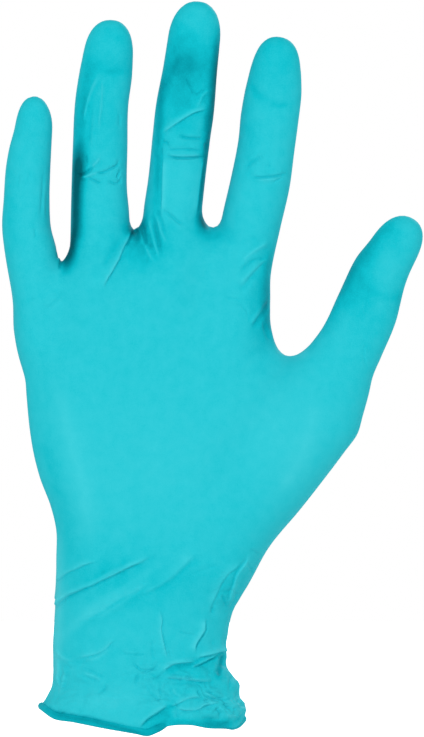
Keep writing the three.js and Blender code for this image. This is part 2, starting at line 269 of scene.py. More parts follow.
def net(distance, step):
    """Draws the surface where a distance is zero: a point in each cell that it crosses."""
    lines = [np.arange(low, high + step, step) for low, high in NET_REACH]
    grid = np.stack(np.meshgrid(*lines, indexing="ij"), axis=-1)
    value = distance(grid.reshape(-1, 3)).reshape(grid.shape[:3])
    inside = value < 0
    unit = np.eye(3, dtype=int)
    crossings, rings = [], []
    for axis in range(3):
        ahead = np.roll(inside, -1, axis=axis)
        at = np.argwhere(inside != ahead)
        after = at + unit[axis]
        a, b = value[tuple(at.T)], value[tuple(after.T)]
        t = (a / (a - b))[:, None]
        crossings.append(grid[tuple(at.T)] * (1 - t) + grid[tuple(after.T)] * t)
        u, v = unit[(axis + 1) % 3], unit[(axis + 2) % 3]
        ring = at[:, None, :] - np.array([u + v, v, 0 * u, u])
        ring[a > 0] = ring[a > 0][:, ::-1]
        rings.append(ring)
    crossings, rings = np.vstack(crossings), np.vstack(rings)
    cells = np.ravel_multi_index(tuple(rings.reshape(-1, 3).T), inside.shape)
    _, quads = np.unique(cells, return_inverse=True)
    share = np.bincount(quads)
    points = np.stack([np.bincount(quads, np.repeat(crossings[:, n], 4)) / share for n in range(3)], axis=1)
    return points, quads.reshape(-1, 4)


def slope_of(distance, points, step=0.04):
    """The direction in which a distance grows fastest, by its rate."""
    shifts = np.eye(3) * step
    rates = [(distance(points + shift) - distance(points - shift)) / (2 * step) for shift in shifts]
    return np.stack(rates, axis=1)


LEAST_SLOPE = 0.5  # so that no point jumps far where the distance hardly grows


def settle(distance, points, rounds=2):
    """Moves points straight onto the surface."""
    for _ in range(rounds):
        slope = slope_of(distance, points)
        size = np.maximum((slope**2).sum(axis=1), LEAST_SLOPE**2)
        points = points - slope * (distance(points) / size)[:, None]
    return points


def even_out(distance, points, edges, rounds):
    """Spaces points evenly along the surface."""
    ends = np.vstack([edges, edges[:, ::-1]])
    share = np.bincount(ends[:, 0], minlength=len(points))[:, None]
    for _ in range(rounds):
        total = [np.bincount(ends[:, 0], points[ends[:, 1], n], minlength=len(points)) for n in range(3)]
        points = (points + np.stack(total, axis=1) / share) / 2
        points = settle(distance, points, 1)
    return points


def closed_below(distance, floor):
    """The same form, ended by a flat face at a height."""
    return lambda points: np.maximum(distance(points), floor - points[:, 2])


def mesh_of(name, points, faces):
    mesh = bpy.data.meshes.new(name)
    mesh.from_pydata(points, [], faces)
    return mesh


def rows_of(things, what, width=3, kind=float):
    """A property of a mesh's points, edges or faces, as a row for each."""
    flat = np.empty(len(things) * width, dtype=kind)
    things.foreach_get(what, flat)
    return flat.reshape(-1, width)


def points_of(mesh):
    return rows_of(mesh.vertices, "co")


def put_points(mesh, points):
    mesh.vertices.foreach_set("co", points.ravel())
    mesh.update()


def form_mesh(name, distance, step, rounds=4):
    mesh = mesh_of(name, *[part.tolist() for part in net(distance, step)])
    points = settle(distance, points_of(mesh))
    edges = rows_of(mesh.edges, "vertices", 2, int)
    put_points(mesh, even_out(distance, points, edges, rounds))
    return mesh


outside = closed_below(worn_form, FLOOR)
film = form_mesh("glove_film", outside, step=1.6)

# The folds of the film
# Where the film is loose it lies in folds: across the wrist, in the webs and at
# the finger joints. A pleat laps over its own foot, and a crease is a line pressed in or raised.

# Places on the folds are in pixels of the front view, as across and down, and the wrist's middle
# is one of them.
PIXEL = 240 / 733
WRIST_PIXEL = (150, 560)

# Height, the length of the slow slope, to the left of the path or negative to its right, the
# width of the steep one, in millimetres, and the path of the foot.
PLEATS = [
    ("upper wrist", PALM, 0.5, 2.4, 0.35,
     [(38, 595), (46, 589), (55, 583), (62, 577.5), (68, 573), (77, 569), (85, 565), (95, 562), (104, 559)]),
    ("main wrist", PALM, 0.95, 2, 0.45,
     [(26, 624), (38, 617), (50, 610), (57.5, 605), (63, 600), (70, 595), (77, 592), (85, 588), (93, 585),
      (103, 580), (112, 576), (122, 571), (132, 566), (142, 562), (152, 556), (164, 549)]),
    ("lower wrist", PALM, 0.5, 2.5, 0.8,
     [(76, 628), (82, 623), (92, 617.5), (102, 612), (112, 605), (123, 598), (133, 593), (145, 586),
      (156, 578)]),
    ("lower wrist far", PALM, 0.45, 3, 1.1,
     [(132, 602), (140, 597), (150, 592), (160, 587), (172, 579), (184, 568), (196, 556), (206, 550)]),
    ("cuff waist", PALM, 0.5, 1.6, 0.4,
     [(74, 658), (82.5, 657), (92, 655), (100, 652.5), (107, 648), (112, 642.5), (118, 635)]),
    ("thumb side", PALM, 0.35, -2.6, 0.6,
     [(247, 556), (236.8, 567.5), (229, 574), (224, 580), (218.6, 591), (215.5, 597.5), (212.4, 605),
      (211, 612.5), (209, 617)]),
    ("thumb side low", PALM, 0.8, -1.6, 0.4,
     [(206, 614), (206, 619), (205.5, 626), (205.8, 629.4), (202.4, 634.4), (199.3, 639.4), (196.5, 644.4),
      (196, 651), (196, 655)]),
    ("thumb side rib", PALM, 0.5, 1.4, 0.4,
     [(247, 549), (246, 560), (243, 564), (239, 569), (235.5, 575), (233, 584), (230.5, 591), (228, 600),
      (226, 608)]),
    ("upright", PALM, 0.5, -1.2, 0.3,
     [(160, 604), (161, 610), (162.4, 616), (163, 621), (162.1, 626), (162.4, 632), (163.6, 637.5),
      (165, 644), (165.7, 647), (168.3, 657), (169.5, 664)]),
    ("cuff right top", PALM, 0.9, 1.5, 0.45,
     [(161, 674), (167, 668), (170.7, 665.7), (174, 664), (180, 663), (186, 662.6), (192, 662), (198, 661)]),
    ("cuff right top far", PALM, 0.9, 1.4, 0.45,
     [(193, 660), (200, 657), (207, 655.4), (214, 653.6), (220, 652), (225.7, 651.7), (234, 651),
      (244, 650)]),
    ("cuff right branch", PALM, 0.8, 0.9, 0.3,
     [(189, 669), (194, 666.4), (198.6, 664.3), (204, 661.7), (210, 658.6), (215.7, 655.7), (221, 653)]),
    ("cuff right cross", PALM, 0.8, 0.8, 0.3,
     [(160, 677), (165.7, 677.4), (174, 678), (186, 679), (194, 680), (203, 681), (210, 681), (217, 680)]),
    ("hem pleat left", PALM, 0.9, -1.6, 0.35,
     [(172, 703), (168, 705), (163, 708), (157, 712), (151, 715.7), (147, 718.6), (143, 723), (139, 729)]),
    ("hem pleat right", PALM, 0.6, 1.2, 0.4,
     [(164, 704), (168, 704), (173, 705), (180, 702), (186, 699), (191, 697.4), (198.6, 697), (205, 698)]),
    ("hem pleat arc", PALM, 0.6, 1, 0.4,
     [(170, 703), (173, 705), (178.6, 708), (185.7, 709.7), (193, 709.3), (200, 708), (204, 705),
      (211, 703.6), (218.6, 702), (226, 701)]),
    ("web main", PALM, 0.8, -1.2, 0.3,
     [(136, 224), (133, 229), (128.6, 240.7), (124, 249), (120.7, 258), (117, 265), (113, 272),
      (108.6, 279), (105, 287), (101, 294)]),
    ("middle slant", PALM, 0.7, 1.5, 0.35,
     [(157, 138), (160, 136), (167.5, 131), (177.5, 124), (187.5, 117.5), (196, 113), (204, 111),
      (212.5, 110)]),
    ("middle panel left", PALM, 0.6, 2.5, 0.3,
     [(162.5, 150), (162.5, 162), (162, 180), (161.5, 200), (160.5, 222)]),
    ("middle panel right", PALM, 0.6, -2.5, 0.4,
     [(205, 150), (204.5, 158), (202, 173), (199.5, 193), (196, 222)]),
    ("back of the wrist", BACK, 0.7, 2.4, 0.45,
     [(30, 596), (60, 600), (90, 594), (120, 584), (150, 580), (180, 585)]),
    ("back of the wrist, lower", BACK, 0.6, 2.2, 0.5,
     [(96, 618), (120, 612), (150, 611), (180, 617), (210, 626), (236, 630)]),
    ("back of the wrist, thumb side", BACK, 0.6, 2, 0.4,
     [(172, 566), (190, 560), (210, 548), (228, 534), (244, 520)]),
    ("back of the cuff", BACK, 0.8, 1.6, 0.4, [(46, 672), (66, 664), (90, 660), (112, 664), (130, 672)]),
    ("back of the cuff, slant", BACK, 0.8, 1.4, 0.35,
     [(150, 654), (166, 662), (182, 674), (194, 688), (200, 704)]),
    ("back of the cuff, upright", BACK, 0.7, -1.3, 0.35,
     [(96, 652), (92, 668), (94, 684), (90, 702), (84, 716)]),
]

# Height, negative where it is pressed in, half-width in millimetres, and path.
CREASES = [
    ("hem groove", PALM, -0.6, 0.7,
     [(36, 702), (46, 707), (56, 711), (66, 713.5), (76, 715.5), (91, 718), (104, 721), (119, 724.5),
      (135, 729), (150, 732)]),
    ("main wrist top", PALM, -0.4, 0.8,
     [(76, 592), (85, 587), (100, 579), (110, 572), (117, 568), (130, 560)]),
    ("lower wrist top", PALM, -0.35, 0.9, [(78, 625), (87, 618), (97, 613), (103, 608), (112, 604)]),
    ("lower wrist rib", PALM, 0.4, 1.2,
     [(84, 625), (97, 617), (107, 611.5), (127, 598), (140, 588), (155, 577)]),
    ("lower wrist upper", PALM, -0.3, 0.8,
     [(103, 606), (113, 601.5), (122, 596), (130, 590), (140, 582), (152, 576)]),
    ("wrist faint", PALM, -0.15, 1, [(185.5, 576), (199, 571), (212, 567), (222, 565)]),
    ("thumb side low line", PALM, -0.5, 0.4,
     [(206.5, 622), (205, 630), (200, 639), (196.5, 645), (196.5, 652)]),
    ("thumb side dent", PALM, -0.5, 0.6, [(212.5, 606), (212.5, 613)]),
    ("thumb side tuck", PALM, -0.35, 0.4, [(221, 593), (222.5, 596), (225, 602.5), (227, 608)]),
    ("thumb side split", PALM, -0.35, 0.4, [(246, 560), (249, 565), (251, 569), (253, 574)]),
    ("thumb side arc", PALM, -0.25, 0.5, [(249, 549), (256, 552), (260, 556)]),
    ("thumb side edge", PALM, -0.3, 0.4, [(235, 588), (236, 596), (233, 602.5), (230, 612)]),
    ("cuff right line", PALM, -0.3, 0.4, [(176, 629), (186, 633), (192.5, 634), (199, 633.5)]),
    ("cuff right dent", PALM, -0.3, 1, [(212, 638), (213, 650)]),
    ("upright second", PALM, -0.2, 0.4, [(169, 646), (170.5, 654), (171, 660)]),
    ("cuff top line", PALM, -0.4, 0.4, [(184, 660), (188.5, 659.5), (196, 658.5)]),
    ("cuff top hollow", PALM, -0.5, 0.9, [(193, 664), (199, 659.5)]),
    ("cuff cross above", PALM, -0.3, 0.4, [(168, 672), (178, 673.5), (184, 675), (192, 677)]),
    ("cuff cross below", PALM, -0.35, 0.6, [(176, 684), (178.5, 683), (185.5, 682), (194.5, 681.5)]),
    ("cuff bowl", PALM, -0.35, 0.5, [(170, 684), (170.5, 687), (172, 691.5), (175.5, 695), (181, 697)]),
    ("cuff bowl rim", PALM, 0.3, 0.6, [(173, 686), (174.5, 691), (178, 694), (183, 696)]),
    ("cuff bowl floor", PALM, -0.3, 0.4, [(180, 694.5), (186, 694.5), (193, 694)]),
    ("cuff tuck", PALM, -0.7, 0.35, [(197, 688), (198.5, 693.5), (200.5, 695.5), (204, 698)]),
    ("cuff tuck right", PALM, -0.45, 0.45,
     [(203, 685), (204.5, 686.5), (207, 690), (211.5, 693), (215.5, 695.5), (220, 698.5), (225.5, 699),
      (230, 697), (232, 692)]),
    ("cuff tuck middle", PALM, -0.6, 0.4, [(199, 692), (207, 695.5), (213, 698), (217, 700), (221.5, 702)]),
    ("cuff tuck rib", PALM, 0.4, 0.35, [(203, 690.5), (209, 693.5), (214, 696.5), (219, 700)]),
    ("cuff tuck low", PALM, -0.35, 0.4, [(203, 697), (208, 701), (213, 704)]),
    ("hem pleat up", PALM, -0.4, 0.5,
     [(167, 703), (161, 701), (159, 698.6), (154, 694), (150, 690), (147, 686), (144, 681)]),
    ("cuff seam", PALM, -0.4, 0.45, [(162, 700), (161, 693), (160, 687), (160.7, 683), (162, 679)]),
    ("hem pleat edge", PALM, -0.35, 0.6, [(176, 709), (178, 713), (178, 719)]),
    ("hem pleat short", PALM, -0.2, 0.4, [(189.5, 712), (189.5, 719)]),
    ("cuff side", PALM, -0.9, 0.8,
     [(223.5, 652), (223, 655), (221.5, 660), (220.5, 663), (219.5, 668), (218.5, 673), (217, 677)]),
    ("under the lobes", PALM, -0.6, 0.8, [(200, 716), (208, 718), (216, 721), (226, 722), (236, 721)]),
    ("lobe, upper", PALM, -0.5, 0.6, [(220, 702), (226, 706), (232, 708), (239, 707), (244, 703)]),
    ("lobe, side", PALM, -0.5, 0.5, [(232, 697), (236, 702), (241, 706), (247, 709)]),
    ("lobe, inner", PALM, -0.4, 0.5, [(214, 706), (219, 711), (219, 717)]),
    ("lobe, rib", PALM, 0.5, 0.6, [(224, 712), (231, 715), (238, 715)]),
    ("lobe, low", PALM, -0.4, 0.5, [(240, 712), (238, 718), (234, 723)]),
    ("cuff side rib", PALM, 0.3, 0.5, [(219, 655), (217.5, 664), (215.5, 671)]),
    ("cuff side tuck", PALM, -0.5, 0.5, [(231.5, 675), (230, 681), (229, 688)]),
    ("cuff side dent", PALM, -0.3, 0.35, [(205.5, 682), (206, 687)]),
    ("cuff middle bowl", PALM, -0.45, 0.4,
     [(131.5, 658), (135, 663), (140, 668), (146.5, 669), (153, 668), (158, 663), (158.5, 656)]),
    ("cuff middle slant", PALM, -0.4, 0.4,
     [(130, 659), (136, 665), (141, 669), (146, 671), (152, 673), (158, 678)]),
    ("cuff middle upright", PALM, -0.25, 0.4, [(154, 636), (152, 644), (153, 655), (154, 659)]),
    ("cuff middle tuck", PALM, -0.35, 0.6, [(139, 671), (137, 677), (136, 681.5), (134, 686)]),
    ("cuff middle line", PALM, -0.35, 0.35, [(119, 652), (130, 653), (143, 653.5), (150, 653.5)]),
    ("cuff middle line top", PALM, -0.15, 0.35, [(122, 650), (140, 650.5)]),
    ("cuff waist rib", PALM, 0.3, 0.8, [(84, 660.5), (95, 657.5), (104, 652), (113, 645)]),
    ("cuff waist left", PALM, 0.35, 0.6, [(54, 648), (60, 654.5), (67, 659), (76, 660)]),
    ("cuff waist hollow", PALM, -0.35, 1, [(66, 662), (78, 661), (92, 660.5)]),
    ("cuff waist lower", PALM, -0.25, 0.6, [(60, 663.5), (72, 666.5), (80, 666)]),
    ("left puff top", PALM, -0.35, 0.5, [(78, 666.5), (87, 668), (95, 671.5), (102, 675), (106, 679)]),
    ("left puff rib", PALM, 0.3, 0.6, [(82, 671), (90, 673.5), (98, 677), (104, 681)]),
    ("left puff line", PALM, -0.25, 0.5, [(80, 673), (88, 676.5), (96, 680), (100, 681)]),
    ("left puff hollow", PALM, -0.45, 0.8, [(105, 682), (105, 686.5), (101, 690.5), (96.5, 693)]),
    ("left streak", PALM, 0.35, 0.5, [(66, 668), (64.5, 674), (62.5, 683), (60, 692)]),
    ("left streak outer", PALM, 0.3, 0.5, [(57, 656), (58, 668), (57.5, 676), (60, 690), (62, 697)]),
    ("left streak hollow", PALM, -0.25, 0.5, [(62, 668), (61, 676), (59.5, 686)]),
    ("web main top", PALM, -0.6, 0.45, [(137, 227), (131.5, 236.5), (128, 243.5), (125, 249.5)]),
    ("web corner", PALM, -0.5, 1.1, [(137, 229), (138, 237), (140, 243)]),
    ("web second", PALM, -0.5, 1.1,
     [(125, 237), (119.5, 245), (115, 249), (110.5, 255), (106, 262), (102, 269)]),
    ("web rib", PALM, 0.4, 0.6, [(137, 222), (140, 232), (144, 243), (150, 256), (156, 266)]),
    ("web rib second", PALM, 0.4, 0.7, [(148, 214), (150, 225), (153, 237), (157, 250), (162, 262)]),
    ("web rib third", PALM, 0.3, 0.6, [(156, 214), (159, 226), (163, 236), (169, 246)]),
    ("web ray", PALM, -0.9, 0.7, [(143.5, 223), (143, 230.5), (144.5, 237), (146, 247)]),
    ("web ray second", PALM, -0.8, 0.8,
     [(153, 214), (155, 223.5), (157, 233.5), (158.5, 242), (160, 253.5), (160, 259)]),
    ("web ray branch", PALM, -0.5, 0.6, [(149, 240), (153.5, 249.5), (157, 255)]),
    ("web ray third", PALM, -0.65, 0.6, [(157, 207), (160, 219), (163, 228), (165, 237)]),
    ("web ray fourth", PALM, -0.55, 0.5,
     [(159.5, 208), (168, 213.5), (173.5, 218), (179.5, 223), (186, 226)]),
    ("little web", PALM, -0.6, 0.4, [(63, 256.5), (62, 259), (60.5, 265), (59.5, 270.5)]),
    ("little web side", PALM, -0.3, 0.4, [(56.5, 257), (61, 257.5)]),
    ("little web low", PALM, -0.3, 0.6,
     [(63, 291), (61.5, 293.5), (58.5, 298.5), (55.5, 301.5), (50, 307), (45, 311)]),
    ("ring long", PALM, 0.48, 0.5,
     [(100, 73), (96, 81.5), (92, 90), (88.5, 100), (86, 110), (84.5, 118), (83.5, 126.5)]),
    ("ring long second", PALM, 0.36, 0.4,
     [(103.5, 71.5), (102.5, 85), (102, 98), (101, 110), (99.5, 123), (99.5, 137)]),
    ("ring long hollow", PALM, -0.36, 0.6, [(92.5, 106), (91, 118), (89.5, 131.5), (88.5, 148)]),
    ("ring right", PALM, -0.25, 0.6, [(120, 113), (119.5, 128)]),
    ("ring side tuck", PALM, -0.4, 0.4, [(86.5, 155), (87.5, 166)]),
    ("ring joint", PALM, -1, 0.45,
     [(74, 173), (77, 174), (81, 175), (86, 173), (89.5, 171), (92.5, 168), (95, 166.5)]),
    ("ring joint rib", PALM, 0.6, 0.5, [(79.5, 177), (86, 177), (92.5, 174.5), (100, 172)]),
    ("ring joint right", PALM, -0.75, 0.4,
     [(92.5, 174.5), (99.5, 173.5), (104.5, 172.5), (109.5, 170), (114.5, 167.5), (119.5, 163), (121, 159)]),
    ("ring joint lower", PALM, -0.6, 0.4, [(86, 177.5), (92.5, 180), (97.5, 182.5), (102.5, 184)]),
    ("ring joint low right", PALM, -0.52, 0.4,
     [(107, 180), (111, 182.5), (116, 184), (119.5, 182.5), (121, 176.5)]),
    ("ring joint side", PALM, -0.52, 0.35, [(117, 180), (118.5, 175), (121, 171.5)]),
    ("ring joint upper", PALM, 0.52, 0.5, [(91, 168), (97.5, 161.5), (101, 156.5)]),
    ("ring pad end", PALM, -0.12, 1.4, [(104, 72), (114, 73), (126, 72)]),
    ("middle pad side", PALM, -0.2, 0.8,
     [(180, 56), (177.5, 61.5), (174.5, 68), (171, 75), (167.5, 81.5), (165.5, 87)]),
    ("middle pad line", PALM, -0.3, 0.35, [(184.5, 75), (187.5, 83), (192, 91.5), (194.5, 97)]),
    ("middle pad branch", PALM, -0.3, 0.35, [(194.5, 96.5), (201, 93), (206, 90)]),
    ("middle rib", PALM, 0.3, 0.5, [(209, 88), (207.5, 91.5), (202.5, 96.5), (199.5, 103), (196, 108.5)]),
    ("middle side line", PALM, -0.25, 0.5, [(204.5, 100), (208.5, 106.5)]),
    ("middle joint top", PALM, -0.8, 0.5, [(176, 135), (184.5, 138), (194.5, 139), (206, 139.5)]),
    ("middle joint swirl", PALM, -0.52, 0.4, [(163.5, 138), (163, 142), (167, 143), (169.5, 146)]),
    ("middle joint", PALM, -0.52, 0.4,
     [(163, 147), (166, 149), (169.5, 150), (177.5, 150), (187.5, 150), (197.5, 151), (205, 152)]),
    ("middle joint low", PALM, -0.9, 0.35,
     [(162, 155.5), (171, 157.5), (181, 158.5), (194.5, 158), (204.5, 156.5), (209, 155)]),
    ("middle joint rib", PALM, 0.45, 0.4, [(165, 154.5), (180, 155.5), (195, 155.5), (204, 154.5)]),
    ("middle joint side", PALM, -0.45, 0.4, [(162, 146), (161, 152), (161.5, 157)]),
    ("middle right", PALM, -0.4, 1, [(207, 112), (207, 125), (206, 136)]),
    ("middle right tuck", PALM, -0.5, 0.6, [(206.5, 143), (206, 151)]),
    ("index pad end", PALM, -0.15, 1.3, [(251.5, 80), (255, 90), (260, 96), (266.5, 98), (273, 97.5)]),
    ("index pad end low", PALM, -0.2, 1.2, [(268, 104.5), (273, 106), (281.5, 106.5), (288, 104)]),
    ("index joint", PALM, -0.6, 0.4,
     [(247, 179), (254, 178), (258, 178), (265, 177.5), (271.5, 177), (278, 176), (285, 174.5), (291, 173)]),
    ("index joint rib", PALM, 0.35, 0.6, [(256, 181), (270, 180), (280, 178.5)]),
    ("index joint top", PALM, -0.49, 0.6, [(243, 169.5), (251.5, 163), (258, 159), (265, 155.5)]),
    ("index joint side", PALM, -0.28, 0.5, [(268, 161), (270, 168)]),
    ("index joint low", PALM, -0.35, 0.35, [(273, 183), (278, 180), (284, 177)]),
    ("index root", PALM, 0.45, 0.8, [(240, 265), (247, 257), (256, 250), (264, 245), (270, 240)]),
    ("index root line", PALM, -0.55, 0.6,
     [(238, 274), (243, 269), (250, 263), (257.5, 259.5), (264, 259.5), (270, 258)]),
    ("index root second", PALM, 0.45, 0.9,
     [(238, 288), (244, 280.5), (254, 270), (264.5, 260.5), (272, 254)]),
    ("index root low", PALM, -0.55, 0.9, [(238, 296), (242, 289), (253, 275), (262, 265), (270, 259)]),
    ("index root side", PALM, -0.75, 0.8, [(251, 330), (255, 325), (261, 315), (266, 307), (272, 298)]),
    ("index root side rib", PALM, 0.35, 0.7, [(250, 326), (254, 320), (259, 313), (264, 306)]),
    ("index root edge", PALM, -0.4, 0.6, [(262, 318), (264.5, 327), (267.5, 335.5), (272, 342)]),
    ("index root upper", PALM, -0.25, 0.8, [(240, 244), (246, 240), (252, 239), (260, 236)]),
    ("palm faint", PALM, -0.2, 0.4, [(224, 297), (230, 298.5), (236.5, 300), (243, 303)]),
    ("palm faint low", PALM, -0.2, 0.4, [(236, 302), (241, 306), (246.5, 311.5), (250, 318)]),
    ("little slant", PALM, -0.15, 0.4, [(20.5, 174), (17, 186)]),
    ("little slant right", PALM, -0.15, 0.5, [(32, 171), (24.5, 191)]),
    ("little long", PALM, -0.24, 0.5, [(44, 168), (43, 190), (42, 205), (40.5, 220)]),
    ("little long right", PALM, -0.2, 0.4, [(47.5, 188), (46.5, 205), (47.5, 223)]),
    ("little joint", PALM, -0.25, 0.4, [(35, 227), (36.5, 239)]),
    ("little root", PALM, -0.15, 0.4, [(28, 301.5), (36.5, 298)]),
    ("thumb joint", PALM, -0.15, 0.5, [(367, 296), (366, 301.5), (364, 314), (362, 322)]),
    ("thumb side line", PALM, -0.15, 0.4, [(366, 342), (363, 352), (366, 369)]),
    ("little middle joint", BACK, -0.35, 0.6, [(12, 182), (22, 179), (34, 179), (44, 182)]),
    ("little middle joint, lower", BACK, -0.3, 0.5, [(14, 190), (26, 187), (40, 189)]),
    ("little end joint", BACK, -0.25, 0.5, [(20, 140), (32, 138), (44, 140)]),
    ("ring middle joint", BACK, -0.4, 0.6, [(80, 160), (92, 156), (106, 156), (118, 160)]),
    ("ring middle joint, lower", BACK, -0.35, 0.5, [(82, 170), (98, 166), (116, 169)]),
    ("ring end joint", BACK, -0.25, 0.5, [(86, 98), (102, 95), (120, 98)]),
    ("middle middle joint", BACK, -0.4, 0.6, [(158, 146), (172, 141), (188, 141), (202, 145)]),
    ("middle middle joint, lower", BACK, -0.35, 0.5, [(160, 156), (178, 152), (200, 155)]),
    ("middle end joint", BACK, -0.25, 0.5, [(168, 84), (186, 81), (206, 84)]),
    ("forefinger middle joint", BACK, -0.4, 0.6, [(246, 166), (260, 162), (274, 163), (286, 168)]),
    ("forefinger middle joint, lower", BACK, -0.35, 0.5, [(246, 176), (262, 172), (284, 178)]),
    ("forefinger end joint", BACK, -0.25, 0.5, [(254, 116), (270, 113), (288, 117)]),
    ("thumb middle joint", BACK, -0.35, 0.6, [(356, 300), (368, 306), (382, 314), (390, 320)]),
    ("back of the web", BACK, -0.5, 0.5, [(137, 228), (133, 246), (130, 262), (128, 280)]),
    ("back of the web by the forefinger", BACK, -0.45, 0.5, [(206, 226), (210, 244), (212, 262)]),
    ("back of the web by the little finger", BACK, -0.45, 0.5, [(64, 258), (62, 274), (62, 290)]),
    ("back of the thumb's web", BACK, 0.4, 0.8, [(292, 358), (286, 380), (276, 402), (262, 424)]),
    ("back of the cuff, star", BACK, -0.6, 0.45, [(120, 668), (134, 684), (142, 700), (144, 716)]),
    ("back of the cuff, branch", BACK, -0.5, 0.45, [(134, 684), (152, 684), (170, 690), (184, 702)]),
    ("back of the cuff, tuck", BACK, -0.6, 0.4, [(206, 664), (212, 676), (222, 686), (232, 690)]),
]


def smooth_path(places, step=0.6):
    """A smooth route across and up the glove, with points a step apart, from pixel places."""
    places = (np.array(places, dtype=float) - WRIST_PIXEL) * (PIXEL, -PIXEL)
    lengths = np.r_[0, np.cumsum(np.linalg.norm(np.diff(places, axis=0), axis=1))]
    marks = np.linspace(0, lengths[-1], max(int(lengths[-1] / step), 2) + 1)
    return curve(np.column_stack([lengths, places]))(marks)


def beside(route, flat):
    """How far flat points are to the left of a route, and how far along it, from 0 to 1."""
    starts, spans = route[:-1], np.diff(route, axis=0)
    lengths = np.linalg.norm(spans, axis=1)
    away = flat[:, None, :] - starts[None]
    t = np.clip((away * spans).sum(axis=2) / lengths**2, 0, 1)
    gaps = away - t[..., None] * spans
    sizes = np.linalg.norm(gaps, axis=2)
    nearest = sizes.argmin(axis=1)
    row = np.arange(len(flat))
    span, gap = spans[nearest], gaps[row, nearest]
    turn = np.sign(span[:, 0] * gap[:, 1] - span[:, 1] * gap[:, 0])
    travelled = np.r_[0, np.cumsum(lengths)][nearest] + t[row, nearest] * lengths[nearest]
    return turn * sizes[row, nearest], travelled / lengths.sum()


FADING = 0.25  # the share of its length over which a fold fades out at each end


def near_route(points, side, places, reach):
    """The points near a fold: their numbers, places beside it, and how much of it they feel."""
    route = smooth_path(places)
    flat = points[:, [0, 2]]
    within = (flat > route.min(axis=0) - reach) & (flat < route.max(axis=0) + reach)
    near = np.flatnonzero(within.all(axis=1) & (points[:, 1] * side < -SIDE_FADE[0]))
    if not len(near):
        return near, np.zeros(0), np.zeros(0)
    offset, along = beside(route, flat[near])
    fade = ease(along, 0, FADING) * ease(1 - along, 0, FADING) * facing(side, points[near])
    return near, offset, fade


NEEDED = {PALM: 1.0, BACK: 0.6, AROUND: 1.0}  # how fine the mesh gets at the folds of each side
FOOT_DEPTH = 0.4  # the hollow at a pleat's foot, as a share of its height
RIM_AT, RIM_HEIGHT = 2.1, 0.35  # the rim beside a crease, by its half-width and by its depth


def fold_shape(points):
    """How far the folds raise the film at points, how deep they press it in, and how near one is."""
    raised, pressed_in, close = (np.zeros(len(points)) for _ in range(3))
    for _, side, height, slow, steep, places in PLEATS:
        near, offset, fade = near_route(points, side, places, 2.4 * abs(slow) + 1)
        up = offset * np.sign(slow) - steep
        slow_side = np.exp(-(np.maximum(up, 0) / abs(slow)) ** 1.4)
        steep_side = np.exp(-((up / (0.75 * steep)) ** 2))
        crest = np.where(up > 0, slow_side, steep_side)
        foot = np.exp(-(((up + 1.4 * steep) / (0.6 * steep + 0.1)) ** 2))
        raised[near] = np.hypot(raised[near], height * fade * crest)
        pressed_in[near] = np.maximum(pressed_in[near], FOOT_DEPTH * height * fade * foot)
        crowded = fade * NEEDED[side] * np.exp(-((up / (2.5 * steep + 0.5)) ** 2))
        close[near] = np.maximum(close[near], crowded)
    for _, side, height, width, places in CREASES:
        near, offset, fade = near_route(points, side, places, 3.5 * width + 0.5)
        away = np.abs(offset) / width
        line = fade * np.exp(-(away**1.6))
        beside_it = fade * np.exp(-((away - RIM_AT) ** 2)) * RIM_HEIGHT
        up, down = (line, beside_it) if height > 0 else (beside_it, line)
        raised[near] = np.hypot(raised[near], abs(height) * up)
        pressed_in[near] = np.maximum(pressed_in[near], abs(height) * down)
        crowded = fade * NEEDED[side] * np.exp(-((offset / (width + 0.4)) ** 2))
        close[near] = np.maximum(close[near], crowded)
    return raised, pressed_in, close


# Where the film is slack it is crumpled all over: side, middle across and down in pixels of the
# front view, reach in millimetres, and how much.
SLACK = [
    ("cuff, thumb side", PALM, (205, 690), (15, 12), 0.85),
    ("cuff, thumb corner", PALM, (226, 708), (7, 5), 0.4),
    ("cuff, middle", PALM, (155, 680), (9, 12), 0.85),
    ("cuff, little finger side", PALM, (80, 692), (16, 12), 0.6),
    ("thumb side of the wrist", PALM, (228, 600), (5, 14), 0.4),
    ("cuff at the back", BACK, (150, 690), (32, 14), 0.6),
    ("back of the wrist", BACK, (140, 600), (20, 10), 0.2),
    ("web", PALM, (150, 235), (7, 8), 0.3),
]


def patches(points, table):
    """The sum of soft round patches, given as in the table above."""
    total = np.zeros(len(points))
    for _, side, middle, reach, amount in table:
        x, z = (np.array(middle) - WRIST_PIXEL) * (PIXEL, -PIXEL)
        away = ((points[:, 0] - x) / reach[0]) ** 2 + ((points[:, 2] - z) / reach[1]) ** 2
        total += amount * np.exp(-away) * facing(side, points)
    return total


WIDE_RISE, WIDE_TOP = 2.2, 0.35  # how steeply the crumples rise, and where they level off
FINE_RISE, FINE_TOP = 2, 0.26
VALLEY = 0.75  # how deep the lines between them lie, in millimetres


def crumple(points):
    """Small random creases of the slack film, in millimetres: sharp valleys and round rises."""
    slack = patches(points, SLACK)
    height = np.zeros(len(points))
    for n in np.flatnonzero(slack > 0.02):
        x, y, z = points[n]
        bend = noise.noise(Vector((x * 0.09, y * 0.09, z * 0.09 + 5))) * 4
        wide = abs(noise.noise(Vector((x * 0.1 + bend * 0.15, y * 0.12, z * 0.2))))
        fine = abs(noise.noise(Vector((x * 0.22 - z * 0.1, y * 0.2 + 9, z * 0.32 + bend * 0.3))))
        rise = WIDE_RISE * min(wide, WIDE_TOP) + FINE_RISE * min(fine, FINE_TOP)
        height[n] = slack[n] * (rise - VALLEY)
    return height


